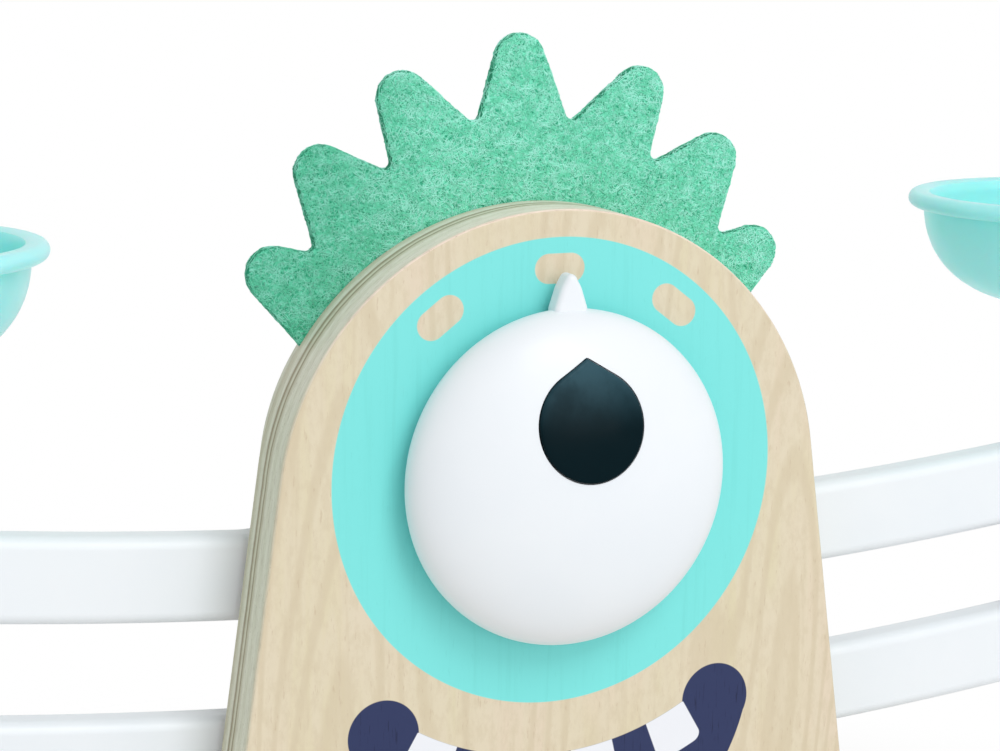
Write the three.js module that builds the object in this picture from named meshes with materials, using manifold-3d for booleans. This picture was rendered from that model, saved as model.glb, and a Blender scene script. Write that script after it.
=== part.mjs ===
// A one-eyed wooden balance toy for learning numbers. A plywood body stands on a base plate. Two white
// beams cross behind it and carry a post and a bowl at each end, so the bowls stay level as the beams
// tilt. The big round eye turns with the upper beam, and its pointer shows which bowl is heavier.
// Units are millimetres. +Z is up, the front faces -Y, and the origin lies on the table under the middle.

import * as THREE from "three";
import { mergeVertices } from "three/addons/utils/BufferGeometryUtils.js";
import Module from "manifold-3d";

const wasm = await Module();
wasm.setup();

// Clearances and cutting allowance, shared by every fit
const clearance = 0.3; // between a hole and the piece that sits or turns in it
const runningGap = 0.5; // between faces that slide past each other
const overrun = 1; // how far a cutter reaches past the face that it cuts

// Driving dimensions of the whole toy
const axleHeight = 165; // eye axle above the table
const pivotSpacing = 44.6; // lower beam pivot below the eye axle
const armReach = 156; // from the axle across to each end pin
const endDrop = 17.5; // end pins of a beam below its own pivot
const maxTilt = 30; // degrees that the beams tilt each way

// Base plate and feet
const baseWidth = 204;
const baseDepth = 116;
const baseThickness = 12;
const baseCorner = 40;
const baseEdge = 2.5;
const footRadius = 8.5;
const footHeight = 3;
const footChamfer = 0.8;
const footSideInset = 30; // foot centres in from the plate's ends
const footEdgeInset = 18; // and from its long edges

// Plywood body
const frontThickness = 18;
const rearThickness = 9;
const boardGap = 16; // between the two boards, where the beams move
const bodyHalfWidth = 91; // at the foot of the front board
const archRadius = 70;
const archDrop = 6.4; // arch centre below the eye axle
const bodyCorner = 4;
const boardEdge = 0.8;
const rearInset = 8.6; // the rear board is this much smaller all round

// Spacer blocks between the boards
const lowerSpacerWidth = 104;
const lowerSpacerHeight = 28;
const upperSpacerInset = 12; // its outer arc lies this far inside the arch
const upperSpacerWidth = 15;
const upperSpacerSpan = 41; // degrees each side of the top

// Felt crest: angles are degrees from straight up, about the arch centre
const feltThickness = 3;
const crestShift = -1.9; // the felt is glued a little to one side
const crestHeight = 54.4; // the middle point above the arch
const crestDepth = 32; // how far the felt reaches down behind the front board
const crestTipRadius = 6.5;
const crestValleyRadius = 1.8;
const crestTipShares = [
  { angle: -0.95, share: 1 }, // the middle point leans a little to the left
  { angle: 20.3, share: 0.932 },
  { angle: 34.3, share: 0.72 },
  { angle: 51, share: 0.629 },
];
const crestValleyShares = [
  { angle: 7.8, share: 0.344 },
  { angle: 23.1, share: 0.256 },
  { angle: 41.4, share: 0.162 },
];
const crestFootShares = [
  { angle: 56.6, share: 0.1 },
  { angle: 50, share: 0.28 },
];
const crestInnerAngle = 45;

// Axle, lower pivot pin and their bushes
const axleRadius = 3;
const bushRadius = 5.5;
const bushFlangeRadius = 8;
const bushFlange = 1.4;
const pivotSocket = 11; // how deep the lower pin sits in the front board
const pinHeadRadius = 6;
const pinHead = 2;
const capLength = 4.5;
const capRadius = 6;
const capChamfer = 1.6;
const capFloor = 1.5;

// Tilt stops
const stopRadius = 4;
const stopReach = 49; // along the shoulder of the raised arm
const stopSocket = 3; // depth in each board
const stopClearance = 0.6;

// Beams
const armHeight = 21.1;
const armDepth = 10;
const armEdge = 1.2;
const bowRadius = 1262; // the arms rise outwards along this curve
const elbowReach = 64; // where the bowed arm meets the straight shoulder
const elbowRound = 26;
const hubRadius = 14;
const hubBossRadius = 8;

// End posts and their pins
const postGap = 0.6; // between a beam's face and the post's cheek
const cheek = 3;
const postHalfWidth = 7;
const postWeb = 2.6;
const postWebGap = 0.9; // between the round end of a beam and the web
const slotRise = 19; // top of the slot above the upper pin
const postShoulder = 5; // solid block above the slot
const postCorner = 4;
const postFootCorner = 7;
const stemRadius = 6;
const seatRadius = 9.6;
const seatThickness = 3;
const spigotRadius = 5;
const spigotHeight = 2.4;
const linkPinRadius = 2;
const linkHeadRadius = 4.6;
const linkHead = 1.6;
const linkCap = 2.6;
const linkCapFloor = 1;

// Bowls
const bowlRimHeight = 59; // top of the rim above the eye axle
const bowlRimRadius = 39.2;
const bowlMouthRadius = 35.1; // outside of the wall just under the rim
const bowlDepth = 29.8; // from the rim's top to the underside of the floor
const bowlWall = 2;
const bowlRimThickness = 4.2;
const bowlFootRadius = 9.4;
const bowlFootHeight = 3;
const bowlSidePower = 2.3;
const bowlFloorPower = 2.45;

// Eye
const eyeRadius = 40.8;
const eyeGap = 2.2; // between the front board and the back of the eye
const eyeRimHeight = 3.6; // from the back of the eye to its widest point
const eyeBulge = 16.1; // from the widest point to the middle of the dome
const eyeWall = 3.2;
const eyeLipRadius = 38.1; // where the rim turns in at the back
const pointerReach = 49.1;
const pointerHalfWidth = 4.3;
const pointerDepth = 5.6;
const pointerTipAngle = 29; // degrees, half of the angle at its tip
const pointerTipRound = 1.5;
const pointerTaper = 3.2; // from the tip back to where its flanks bend
const pointerFlankRound = 8;
const pointerEdge = 1.4;
const pointerRoot = 37; // where the pointer joins the dome
const hubDiscThickness = 2.4;
const hubSocketRadius = 7;
const hubSocketDepth = 12;

// Pupil, a drop with its point up
const pupilRadius = 13.15;
const pupilRise = 15.2; // centre of its round part above the eye axle
const pupilTip = 30.6; // its point above the eye axle
const pupilTipRound = 1;
const pupilProud = 0.6;
const pupilSunk = 1.1;

// Screws
const screwRadius = 1.6;
const screwHeadRadius = 3.6;
const screwHeadDepth = 2.2;
const screwPoint = 3;
const screwSlotWidth = 0.9;
const screwSlotLength = 4;
const screwSlotDepth = 1;
const screwSink = 0.2; // the head lies this far under the surface
const panelScrewBite = 10; // how far the rear screws reach into the front board
const baseScrewBite = 20; // how far the base screws reach into the wood
const topScrewSpread = 32; // degrees each side of the top
const lowScrewX = 42;
const baseScrewFrontX = 62;
const baseScrewMiddleX = 20;

// How many sides and steps the round shapes have
const fineSides = 36;
const smallSides = 16;
const screwSides = 12;
const arcSteps = 5;
const curveSteps = 14;
const bowSteps = 6;
const wallSteps = 7;
const domeSteps = 8;

// Places that follow from the sizes above
const boardInner = boardGap / 2;
const frontFace = -boardInner - frontThickness;
const rearFace = boardInner + rearThickness;
const baseTop = footHeight + baseThickness;
const footX = baseWidth / 2 - footSideInset;
const footY = baseDepth / 2 - footEdgeInset;
const archHeight = axleHeight - archDrop;
const upperSpacerOuter = archRadius - upperSpacerInset;
const upperSpacerInner = upperSpacerOuter - upperSpacerWidth;
const lowerPivotHeight = axleHeight - pivotSpacing;
const postDepth = armDepth + 2 * (postGap + cheek);
const seatRise = bowlRimHeight - bowlDepth - bowlFootHeight + endDrop; // seat above the upper pin

const radians = THREE.MathUtils.degToRad;

// A point at an angle from straight up and a distance from the arch centre
function polar(angle, reach) {
  const x = reach * Math.sin(radians(angle));
  const z = archHeight + reach * Math.cos(radians(angle));
  return new THREE.Vector2(x, z);
}

// Solids: geometry to manifold, and back to a mesh

function solid(geometry) {
  const bare = geometry.clone();
  bare.deleteAttribute("normal");
  bare.deleteAttribute("uv");
  const merged = mergeVertices(bare);
  return new wasm.Manifold(
    new wasm.Mesh({
      numProp: 3,
      vertProperties: merged.attributes.position.array,
      triVerts: new Uint32Array(merged.index.array),
    }),
  );
}

function geometryOf(body) {
  const { vertProperties, triVerts } = body.getMesh();
  const geometry = new THREE.BufferGeometry();
  geometry.setAttribute("position", new THREE.BufferAttribute(vertProperties, 3));
  geometry.setIndex(new THREE.BufferAttribute(triVerts, 1));
  const flat = geometry.toNonIndexed();
  flat.computeVertexNormals();
  return flat;
}

// The points of an arc that rounds one corner of an outline, between its two neighbours
function roundedCorner(before, corner, after) {
  const here = new THREE.Vector2(corner.x, corner.y);
  if (!corner.round) return [here];
  const back = new THREE.Vector2(before.x, before.y).sub(here).normalize();
  const on = new THREE.Vector2(after.x, after.y).sub(here).normalize();
  const half = Math.acos(THREE.MathUtils.clamp(back.dot(on), -1, 1)) / 2;
  const middle = back.clone().add(on).setLength(corner.round / Math.sin(half));
  const centre = here.clone().add(middle);
  const start = here.clone().addScaledVector(back, corner.round / Math.tan(half));
  const turn = (Math.PI - 2 * half) * -Math.sign(back.cross(on));
  const points = [];
  for (let k = 0; k <= arcSteps; k++) {
    points.push(start.clone().rotateAround(centre, (turn * k) / arcSteps));
  }
  return points;
}

// A closed outline whose corners are each rounded by their own radius
function roundedShape(corners) {
  const count = corners.length;
  const points = corners.flatMap((corner, i) =>
    roundedCorner(corners[(i + count - 1) % count], corner, corners[(i + 1) % count]),
  );
  return new THREE.Shape(points);
}

// An outline pushed up from zero, with the edges of both faces eased
function slab(shape, thickness, edge) {
  const geometry = new THREE.ExtrudeGeometry(shape, {
    depth: thickness - 2 * edge,
    bevelEnabled: edge > 0,
    bevelThickness: edge,
    bevelSize: edge,
    bevelOffset: -edge,
    bevelSegments: 1,
    curveSegments: curveSteps,
  });
  return geometry.translate(0, 0, edge);
}

// A board whose outline stands in X and Z, running forward from its back face
const board = (shape, yBack, thickness, edge = 0) =>
  solid(slab(shape, thickness, edge).rotateX(Math.PI / 2).translate(0, yBack, 0));

// A turned solid about the Y axis; the profile runs from the low end to the high end as [radius, y]
function turned(profile, sides = smallSides) {
  const points = profile.map(([radius, y]) => new THREE.Vector2(radius, y));
  return solid(new THREE.LatheGeometry(points, sides));
}

// A plain round rod along Y, between two places
function rod(radius, from, to, sides = smallSides) {
  return turned([[0, from], [radius, from], [radius, to], [0, to]], sides);
}

function box(width, depth, height, x, y, z) {
  return solid(new THREE.BoxGeometry(width, depth, height).translate(x, y, z));
}

// Turns a solid made along Y so that its low end points down
const upright = (body) => body.rotate([90, 0, 0]);
const atHeight = (body, z) => body.translate([0, 0, z]);

// Screws along Y: the head is at the high end, its face at zero

function screw(length, grow = 0) {
  const radius = screwRadius + grow;
  const head = screwHeadRadius + grow;
  const tip = -length - grow;
  const body = turned([
    [0, tip],
    [radius, tip + screwPoint],
    [radius, -screwHeadDepth],
    [head, grow ? 0 : -screwSink],
    [head, grow ? overrun : 0],
    [0, grow ? overrun : 0],
  ], screwSides);
  if (grow) return body;
  const slot = box(screwSlotLength, 2 * screwSlotDepth, screwSlotWidth, 0, 0, 0);
  return body.subtract(slot).subtract(slot.rotate([0, 90, 0]));
}

const rearScrewHead = rearFace - screwSink;
const rearScrewLength = rearScrewHead + boardInner + panelScrewBite;
const topScrewReach = (upperSpacerInner + upperSpacerOuter) / 2;
const topScrewPlaces = [-topScrewSpread, 0, topScrewSpread].map((angle) => {
  const place = polar(angle, topScrewReach);
  return [place.x, rearScrewHead, place.y];
});
const lowScrewPlaces = [-lowScrewX, lowScrewX].map((x) => [
  x,
  rearScrewHead,
  baseTop + lowerSpacerHeight / 2,
]);
const baseScrewHead = footHeight + screwSink;
const baseScrewLength = baseTop - baseScrewHead + baseScrewBite;
const frontBoardMiddle = (frontFace - boardInner) / 2;
const baseScrewPlaces = [
  [-baseScrewFrontX, frontBoardMiddle, baseScrewHead],
  [baseScrewFrontX, frontBoardMiddle, baseScrewHead],
  [-baseScrewMiddleX, 0, baseScrewHead],
  [baseScrewMiddleX, 0, baseScrewHead],
];

function drilled(body, holes) {
  return holes.reduce((rest, hole) => rest.subtract(hole), body);
}

const rearScrewHole = screw(rearScrewLength, clearance);
const baseScrewHole = screw(baseScrewLength, clearance).rotate([-90, 0, 0]);
const topHoles = topScrewPlaces.map((place) => rearScrewHole.translate(place));
const lowHoles = lowScrewPlaces.map((place) => rearScrewHole.translate(place));
const baseHoles = baseScrewPlaces.map((place) => baseScrewHole.translate(place));

// Body boards

// An arch whose sides run from its circle down to the foot, where the corners are eased
function archShape(inset) {
  const foot = new THREE.Vector2(bodyHalfWidth, baseTop - archHeight);
  const toCentre = Math.atan2(-foot.y, -foot.x);
  const sideAngle = toCentre - Math.asin(archRadius / foot.length());
  const lean = sideAngle - Math.PI / 2;
  const halfFoot = bodyHalfWidth - inset / Math.cos(lean);
  const upSide = new THREE.Vector2(Math.cos(sideAngle), Math.sin(sideAngle)).multiplyScalar(bodyCorner);
  const shape = new THREE.Shape();
  shape.moveTo(-halfFoot + bodyCorner, baseTop);
  shape.lineTo(halfFoot - bodyCorner, baseTop);
  shape.quadraticCurveTo(halfFoot, baseTop, halfFoot + upSide.x, baseTop + upSide.y);
  shape.absarc(0, archHeight, archRadius - inset, lean, Math.PI - lean, false);
  shape.lineTo(-halfFoot - upSide.x, baseTop + upSide.y);
  shape.quadraticCurveTo(-halfFoot, baseTop, -halfFoot + bodyCorner, baseTop);
  return shape;
}

const raisedAngle = radians(maxTilt) - shoulderAngle();
const stopOffset = armHeight / 2 + stopClearance + stopRadius;
const stopX = stopReach * Math.cos(raisedAngle) - stopOffset * Math.sin(raisedAngle);
const stopZ = axleHeight + stopReach * Math.sin(raisedAngle) + stopOffset * Math.cos(raisedAngle);
const stopEnd = boardInner + stopSocket;
const stopPeg = (grow = 0) => rod(stopRadius + grow, -stopEnd - grow, stopEnd + grow);
const stopHoles = [-1, 1].map((side) => stopPeg(clearance).translate([side * stopX, 0, stopZ]));

function frontPanel() {
  const bushHole = rod(bushRadius + clearance, frontFace - overrun, -boardInner + overrun);
  const pivotHole = rod(axleRadius + clearance, -boardInner - pivotSocket, -boardInner + overrun);
  return drilled(board(archShape(0), -boardInner, frontThickness, boardEdge), [
    atHeight(bushHole, axleHeight),
    atHeight(pivotHole, lowerPivotHeight),
    ...topHoles,
    ...lowHoles,
    ...baseHoles,
    ...stopHoles,
  ]);
}

function rearPanel() {
  const bushHole = rod(bushRadius + clearance, boardInner - overrun, rearFace + overrun);
  const pivotHole = rod(axleRadius + clearance, boardInner - overrun, rearFace + overrun);
  return drilled(board(archShape(rearInset), rearFace, rearThickness, boardEdge), [
    atHeight(bushHole, axleHeight),
    atHeight(pivotHole, lowerPivotHeight),
    ...topHoles,
    ...lowHoles,
    ...stopHoles,
  ]);
}

function lowerSpacer() {
  const block = box(lowerSpacerWidth, boardGap, lowerSpacerHeight, 0, 0, baseTop + lowerSpacerHeight / 2);
  return drilled(block, [...lowHoles, ...baseHoles]);
}

function upperSpacer() {
  const shape = new THREE.Shape();
  const from = radians(90 - upperSpacerSpan);
  const to = radians(90 + upperSpacerSpan);
  shape.absarc(0, archHeight, upperSpacerOuter, from, to, false);
  shape.absarc(0, archHeight, upperSpacerInner, to, from, true);
  return drilled(board(shape, boardInner, boardGap - feltThickness, 0), topHoles);
}

// Felt crest with seven soft points

function feltCrest() {
  const corner = (angle, rise, round) => ({ ...polar(angle, archRadius + rise), round });
  const tips = crestTipShares.map(({ angle, share }) => corner(angle, crestHeight * share, crestTipRadius));
  const valleys = crestValleyShares.map(({ angle, share }) =>
    corner(angle, crestHeight * share, crestValleyRadius),
  );
  const right = valleys.flatMap((valley, i) => [valley, tips[i + 1]]);
  for (const { angle, share } of crestFootShares) {
    right.push(corner(angle, -crestDepth * share, 0));
  }
  for (let k = 0; k < arcSteps; k++) {
    right.push(corner(crestInnerAngle * (1 - k / arcSteps), -crestDepth, 0));
  }
  const left = right.map(({ x, y, round }) => ({ x: -x, y, round })).reverse();
  const shape = roundedShape([tips[0], ...right, corner(0, -crestDepth, 0), ...left]);
  const felt = board(shape, -boardInner + feltThickness, feltThickness, 0);
  return drilled(felt.translate([crestShift, 0, 0]), topHoles);
}

// Base plate and its rubber feet

function basePlate() {
  const w = baseWidth / 2;
  const d = baseDepth / 2;
  const corners = [
    [-w, -d],
    [w, -d],
    [w, d],
    [-w, d],
  ].map(([x, y]) => ({ x, y, round: baseCorner }));
  const plate = solid(slab(roundedShape(corners), baseThickness, baseEdge));
  return drilled(atHeight(plate, footHeight), baseHoles);
}

const foot = () =>
  turned([
    [0, 0],
    [footRadius - footChamfer, 0],
    [footRadius, footChamfer],
    [footRadius, footHeight],
    [0, footHeight],
  ]);

// Bushes, lower pivot pin and axle

function bush(from, to, flangeAt, flangeTo) {
  const sleeve = rod(bushRadius, from, to);
  const flange = rod(bushFlangeRadius, flangeAt, flangeTo);
  const boreFrom = Math.min(from, flangeAt) - overrun;
  const boreTo = Math.max(to, flangeTo) + overrun;
  return sleeve.add(flange).subtract(rod(axleRadius + clearance, boreFrom, boreTo));
}

const axleBushFront = () => bush(frontFace, -boardInner, frontFace - bushFlange, frontFace);
const axleBushRear = () => bush(boardInner, rearFace, rearFace, rearFace + bushFlange);

function lowerPivotPin() {
  const shank = rod(axleRadius, -boardInner - pivotSocket + clearance, rearFace + pinHead / 2);
  const head = turned([
    [0, rearFace],
    [pinHeadRadius, rearFace],
    [pinHeadRadius, rearFace + pinHead / 2],
    [pinHeadRadius - pinHead / 2, rearFace + pinHead],
    [0, rearFace + pinHead],
  ]);
  return shank.add(head);
}

const eyeBack = frontFace - eyeGap;
const capFrom = rearFace + bushFlange + runningGap;
const axleFront = eyeBack - hubSocketDepth + clearance;
const axleBack = capFrom + capLength - capFloor - clearance;
const eyeAxle = () => rod(axleRadius, axleFront, axleBack);

function axleCap() {
  const body = turned([
    [0, capFrom],
    [capRadius, capFrom],
    [capRadius, capFrom + capLength - capChamfer],
    [capRadius - capChamfer, capFrom + capLength],
    [0, capFrom + capLength],
  ]);
  const socket = rod(axleRadius + clearance, capFrom - overrun, capFrom + capLength - capFloor);
  return body.subtract(socket);
}

// Beams: a straight shoulder from the pivot out to the elbow, then a bowed arm to the end pin

function bowHeight(offset, x) {
  const sag = bowRadius - Math.sqrt(bowRadius ** 2 - armReach ** 2);
  const radius = bowRadius - offset;
  return -endDrop - sag + bowRadius - Math.sqrt(radius ** 2 - x ** 2);
}

function shoulderAngle() {
  return Math.atan2(-bowHeight(0, elbowReach), elbowReach);
}

// Half of the beam's outline from the middle of its bow outwards, mirrored for the other half
function beamShape() {
  const half = armHeight / 2;
  const slope = (x) => Math.asin(x / bowRadius);
  const shoulder = -shoulderAngle();
  const elbowTurn = (slope(elbowReach) - shoulder) / 2;
  const mitre = (slope(elbowReach) + shoulder) / 2;
  const elbow = (side) => ({
    x: elbowReach - (side * half * Math.sin(mitre)) / Math.cos(elbowTurn),
    y: bowHeight(0, elbowReach) + (side * half * Math.cos(mitre)) / Math.cos(elbowTurn),
    round: elbowRound,
  });
  const arm = (side) => {
    const points = [];
    for (let k = 2; k <= bowSteps; k++) {
      const along = elbowReach + ((armReach - elbowReach) * k) / bowSteps;
      const x = along - side * half * Math.sin(slope(armReach));
      points.push({ x, y: bowHeight(side * half, x) });
    }
    return points;
  };
  const end = [];
  for (let k = 1; k < 2 * arcSteps; k++) {
    const angle = slope(armReach) - Math.PI / 2 + (Math.PI * k) / (2 * arcSteps);
    end.push({ x: armReach + half * Math.cos(angle), y: -endDrop + half * Math.sin(angle) });
  }
  const right = [elbow(-1), ...arm(-1), ...end, ...arm(1).reverse(), elbow(1)];
  const left = right.map((corner) => ({ ...corner, x: -corner.x })).reverse();
  const peak = half / Math.cos(shoulder);
  const top = { x: 0, y: peak, round: hubRadius };
  const bottom = { x: 0, y: -peak, round: hubRadius };
  return roundedShape([bottom, ...right, top, ...left]);
}

function beam() {
  const bossHalf = boardInner - runningGap;
  const hub = rod(hubRadius, -armDepth / 2, armDepth / 2, fineSides);
  const boss = rod(hubBossRadius, -bossHalf, bossHalf);
  const bore = rod(axleRadius + clearance, -bossHalf - overrun, bossHalf + overrun);
  const pinHole = rod(linkPinRadius + clearance, -armDepth, armDepth);
  return board(beamShape(), armDepth / 2, armDepth, armEdge)
    .add(hub)
    .add(boss)
    .subtract(bore)
    .subtract(pinHole.translate([armReach, 0, -endDrop]))
    .subtract(pinHole.translate([-armReach, 0, -endDrop]));
}

// End posts: a slotted upright over both beam ends, then a stem and a round seat for the bowl.
// The upper pin is at their origin, and the closed side of the slot faces +X.

function post() {
  const outer = armHeight / 2 + postWebGap + postWeb;
  const bottom = -pivotSpacing - postHalfWidth;
  const blockTop = slotRise + postShoulder;
  const shape = roundedShape([
    { x: -postHalfWidth, y: bottom, round: postFootCorner },
    { x: outer, y: bottom, round: postFootCorner },
    { x: outer, y: blockTop, round: postCorner },
    { x: -postHalfWidth, y: blockTop, round: postCorner },
  ]);
  const slotDepth = armDepth + 2 * postGap;
  const slotHeight = slotRise - bottom + overrun;
  const slotRight = armHeight / 2 + postWebGap;
  const slotLeft = -postHalfWidth - overrun;
  const slotMiddle = (slotRight + slotLeft) / 2;
  const slot = box(slotRight - slotLeft, slotDepth, slotHeight, slotMiddle, 0, slotRise - slotHeight / 2);
  const hole = rod(linkPinRadius + clearance, -postDepth, postDepth);
  const stem = upright(
    turned([
      [0, blockTop - postShoulder / 2],
      [stemRadius, blockTop - postShoulder / 2],
      [stemRadius, seatRise - 2 * seatThickness],
      [seatRadius - seatThickness / 2, seatRise - seatThickness],
      [seatRadius, seatRise - seatThickness / 2],
      [seatRadius, seatRise],
      [spigotRadius, seatRise],
      [spigotRadius, seatRise + spigotHeight],
      [0, seatRise + spigotHeight],
    ], 2 * smallSides),
  );
  return board(shape, postDepth / 2, postDepth, armEdge)
    .subtract(slot)
    .add(stem)
    .subtract(hole)
    .subtract(atHeight(hole, -pivotSpacing));
}

function linkPin() {
  const face = -postDepth / 2;
  const end = postDepth / 2 + linkCap - linkCapFloor - clearance;
  return turned([
    [0, face - linkHead],
    [linkHeadRadius - linkHead / 2, face - linkHead],
    [linkHeadRadius, face - linkHead / 2],
    [linkHeadRadius, face],
    [linkPinRadius, face],
    [linkPinRadius, end],
    [0, end],
  ]);
}

function linkPinCap() {
  const face = postDepth / 2;
  const body = turned([
    [0, face],
    [linkHeadRadius, face],
    [linkHeadRadius, face + linkCap / 2],
    [linkHeadRadius - linkCap / 2, face + linkCap],
    [0, face + linkCap],
  ]);
  const socket = rod(linkPinRadius + clearance, face - overrun, face + linkCap - linkCapFloor);
  return body.subtract(socket);
}

// Bowls, turned with a rolled rim and a foot ring over the seat's spigot; the rim's top is at zero

// One face of the bowl's wall as [radius, height], from the mouth down to where the foot begins
function bowlCurve(mouth, depth) {
  const points = [];
  for (let k = 0; k <= wallSteps; k++) {
    const drop = Math.sin((Math.PI / 2) * (k / wallSteps));
    const radius = mouth * (1 - drop ** bowlSidePower) ** (1 / bowlFloorPower);
    points.push([radius, -bowlRimThickness / 2 - drop * depth]);
  }
  return points.filter(([radius]) => radius > bowlFootRadius);
}

function bowl() {
  const half = bowlRimThickness / 2;
  const outside = bowlCurve(bowlMouthRadius, bowlDepth - half).slice(1).reverse();
  const inside = bowlCurve(bowlMouthRadius - bowlWall, bowlDepth - bowlWall - half);
  const rimOut = [];
  for (let k = 0; k <= arcSteps; k++) {
    const angle = -Math.PI / 2 + (Math.PI * k) / arcSteps;
    rimOut.push([bowlRimRadius - half + half * Math.cos(angle), -half + half * Math.sin(angle)]);
  }
  const footInner = spigotRadius + clearance;
  return turned([
    [0, -bowlDepth],
    [footInner, -bowlDepth],
    [footInner, -bowlDepth - bowlFootHeight],
    [bowlFootRadius, -bowlDepth - bowlFootHeight],
    [bowlFootRadius, -bowlDepth],
    ...outside,
    [bowlMouthRadius, -bowlRimThickness],
    ...rimOut,
    [bowlMouthRadius - half / 2, 0],
    ...inside,
    [bowlFootRadius, bowlWall - bowlDepth],
    [0, bowlWall - bowlDepth],
  ], fineSides);
}

// Eye: a domed shell with a pointer on its rim, a hub disc inside its back, and an inlaid pupil.
// Its pieces, like the axle's, are made about the axle's line.

const eyeWidest = eyeBack - eyeRimHeight;

// The dome as a turned solid, grown or shrunk by an offset
function domeSolid(offset, back) {
  const profile = [[0, eyeWidest - eyeBulge - offset]];
  for (let k = domeSteps - 1; k >= 0; k--) {
    const angle = (Math.PI / 2) * (k / domeSteps);
    const forward = (eyeBulge + offset) * Math.sin(angle);
    profile.push([(eyeRadius + offset) * Math.cos(angle), eyeWidest - forward]);
  }
  profile.push([eyeLipRadius + offset, back], [0, back]);
  return turned(profile, fineSides);
}

// A drop: a circle with two straight flanks that meet in a small round point
function dropPrism(grow) {
  const radius = pupilRadius + grow;
  const pointRise = (pupilTip - pupilRise) * (radius / pupilRadius);
  const touch = Math.acos(radius / pointRise);
  const shape = new THREE.Shape();
  shape.absarc(0, 0, radius, Math.PI / 2 + touch, (5 * Math.PI) / 2 - touch, false);
  const side = pupilTipRound * Math.cos(touch);
  const rise = pointRise - pupilTipRound * Math.sin(touch);
  shape.lineTo(side, rise);
  shape.quadraticCurveTo(0, pointRise, -side, rise);
  return atHeight(board(shape, eyeWidest, 2 * eyeBulge), pupilRise);
}

// The pointer stands on the dome's rim; its flanks bend in towards a round tip
function pointer() {
  const half = radians(pointerTipAngle);
  const apex = pointerReach - pointerTipRound + pointerTipRound / Math.sin(half);
  const bend = pointerReach - pointerTaper;
  const bendX = (apex - bend) * Math.tan(half);
  const shape = roundedShape([
    { x: -pointerHalfWidth, y: pointerRoot },
    { x: pointerHalfWidth, y: pointerRoot },
    { x: pointerHalfWidth, y: eyeRadius },
    { x: bendX, y: bend, round: pointerFlankRound },
    { x: 0, y: apex, round: pointerTipRound },
    { x: -bendX, y: bend, round: pointerFlankRound },
    { x: -pointerHalfWidth, y: eyeRadius },
  ]);
  return board(shape, eyeBack, pointerDepth, pointerEdge);
}

function eyeDome() {
  const shell = domeSolid(0, eyeBack).add(pointer()).subtract(domeSolid(-eyeWall, eyeBack + overrun));
  const pocketFloor = domeSolid(-pupilSunk - clearance, eyeBack);
  return shell.subtract(dropPrism(clearance).subtract(pocketFloor));
}

const eyePupil = () =>
  dropPrism(0).intersect(domeSolid(pupilProud, eyeBack)).subtract(domeSolid(-pupilSunk, eyeBack));

function eyeHub() {
  const radius = eyeLipRadius - eyeWall - clearance;
  const disc = rod(radius, eyeBack - hubDiscThickness, eyeBack, fineSides);
  const socket = rod(hubSocketRadius, eyeBack - hubSocketDepth - hubDiscThickness, eyeBack);
  const bore = rod(axleRadius + clearance, eyeBack - hubSocketDepth, eyeBack + overrun);
  return disc.add(socket).subtract(bore);
}

// Materials, from the colours of the real toy

function paint(color, roughness, metalness = 0) {
  return new THREE.MeshStandardMaterial({ color, roughness, metalness });
}
const plywood = paint(0xe2d2b6, 0.62);
const felt = paint(0x6fcaa5, 0.95);
const whitePlastic = paint(0xf2f4f8, 0.35);
const mintPlastic = paint(0x86ead9, 0.35);
const blackGloss = paint(0x0b2228, 0.12);
const steel = paint(0xb9bcc0, 0.3, 1);
const nylon = paint(0xd9d4c8, 0.5);
const rubber = paint(0x4a4d50, 0.9);
const beech = paint(0xd9bd92, 0.6);

// The assembly: one group for each body that moves

const toy = new THREE.Group();

function group(parent, x, y, z) {
  const holder = new THREE.Group();
  holder.position.set(x, y, z);
  parent.add(holder);
  return holder;
}

function add(parent, name, body, material, [x, y, z] = [0, 0, 0]) {
  const mesh = new THREE.Mesh(geometryOf(body), material.clone());
  mesh.name = name;
  mesh.position.set(x, y, z);
  parent.add(mesh);
  return mesh;
}

const frame = group(toy, 0, 0, 0);
add(frame, "base_plate", basePlate(), plywood);
for (const [row, y] of [["front", -footY], ["rear", footY]]) {
  for (const [hand, x] of [["left", -footX], ["right", footX]]) {
    add(frame, `foot_${row}_${hand}`, foot(), rubber, [x, y, 0]).rotation.x = Math.PI / 2;
  }
}
add(frame, "front_panel", frontPanel(), plywood);
add(frame, "rear_panel", rearPanel(), plywood);
add(frame, "lower_spacer", lowerSpacer(), beech);
add(frame, "upper_spacer", upperSpacer(), beech);
add(frame, "felt_crest", feltCrest(), felt);
add(frame, "axle_bush_front", axleBushFront(), nylon, [0, 0, axleHeight]);
add(frame, "axle_bush_rear", axleBushRear(), nylon, [0, 0, axleHeight]);
add(frame, "lower_pivot_pin", lowerPivotPin(), steel, [0, 0, lowerPivotHeight]);
add(frame, "stop_peg_left", stopPeg(), beech, [-stopX, 0, stopZ]);
add(frame, "stop_peg_right", stopPeg(), beech, [stopX, 0, stopZ]);
["upper_left", "top", "upper_right"].forEach((name, i) => {
  add(frame, `rear_screw_${name}`, screw(rearScrewLength), steel, topScrewPlaces[i]);
});
["lower_left", "lower_right"].forEach((name, i) => {
  add(frame, `rear_screw_${name}`, screw(rearScrewLength), steel, lowScrewPlaces[i]);
});
["front_left", "front_right", "middle_left", "middle_right"].forEach((name, i) => {
  const mesh = add(frame, `base_screw_${name}`, screw(baseScrewLength), steel, baseScrewPlaces[i]);
  mesh.rotation.x = -Math.PI / 2;
});

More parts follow.
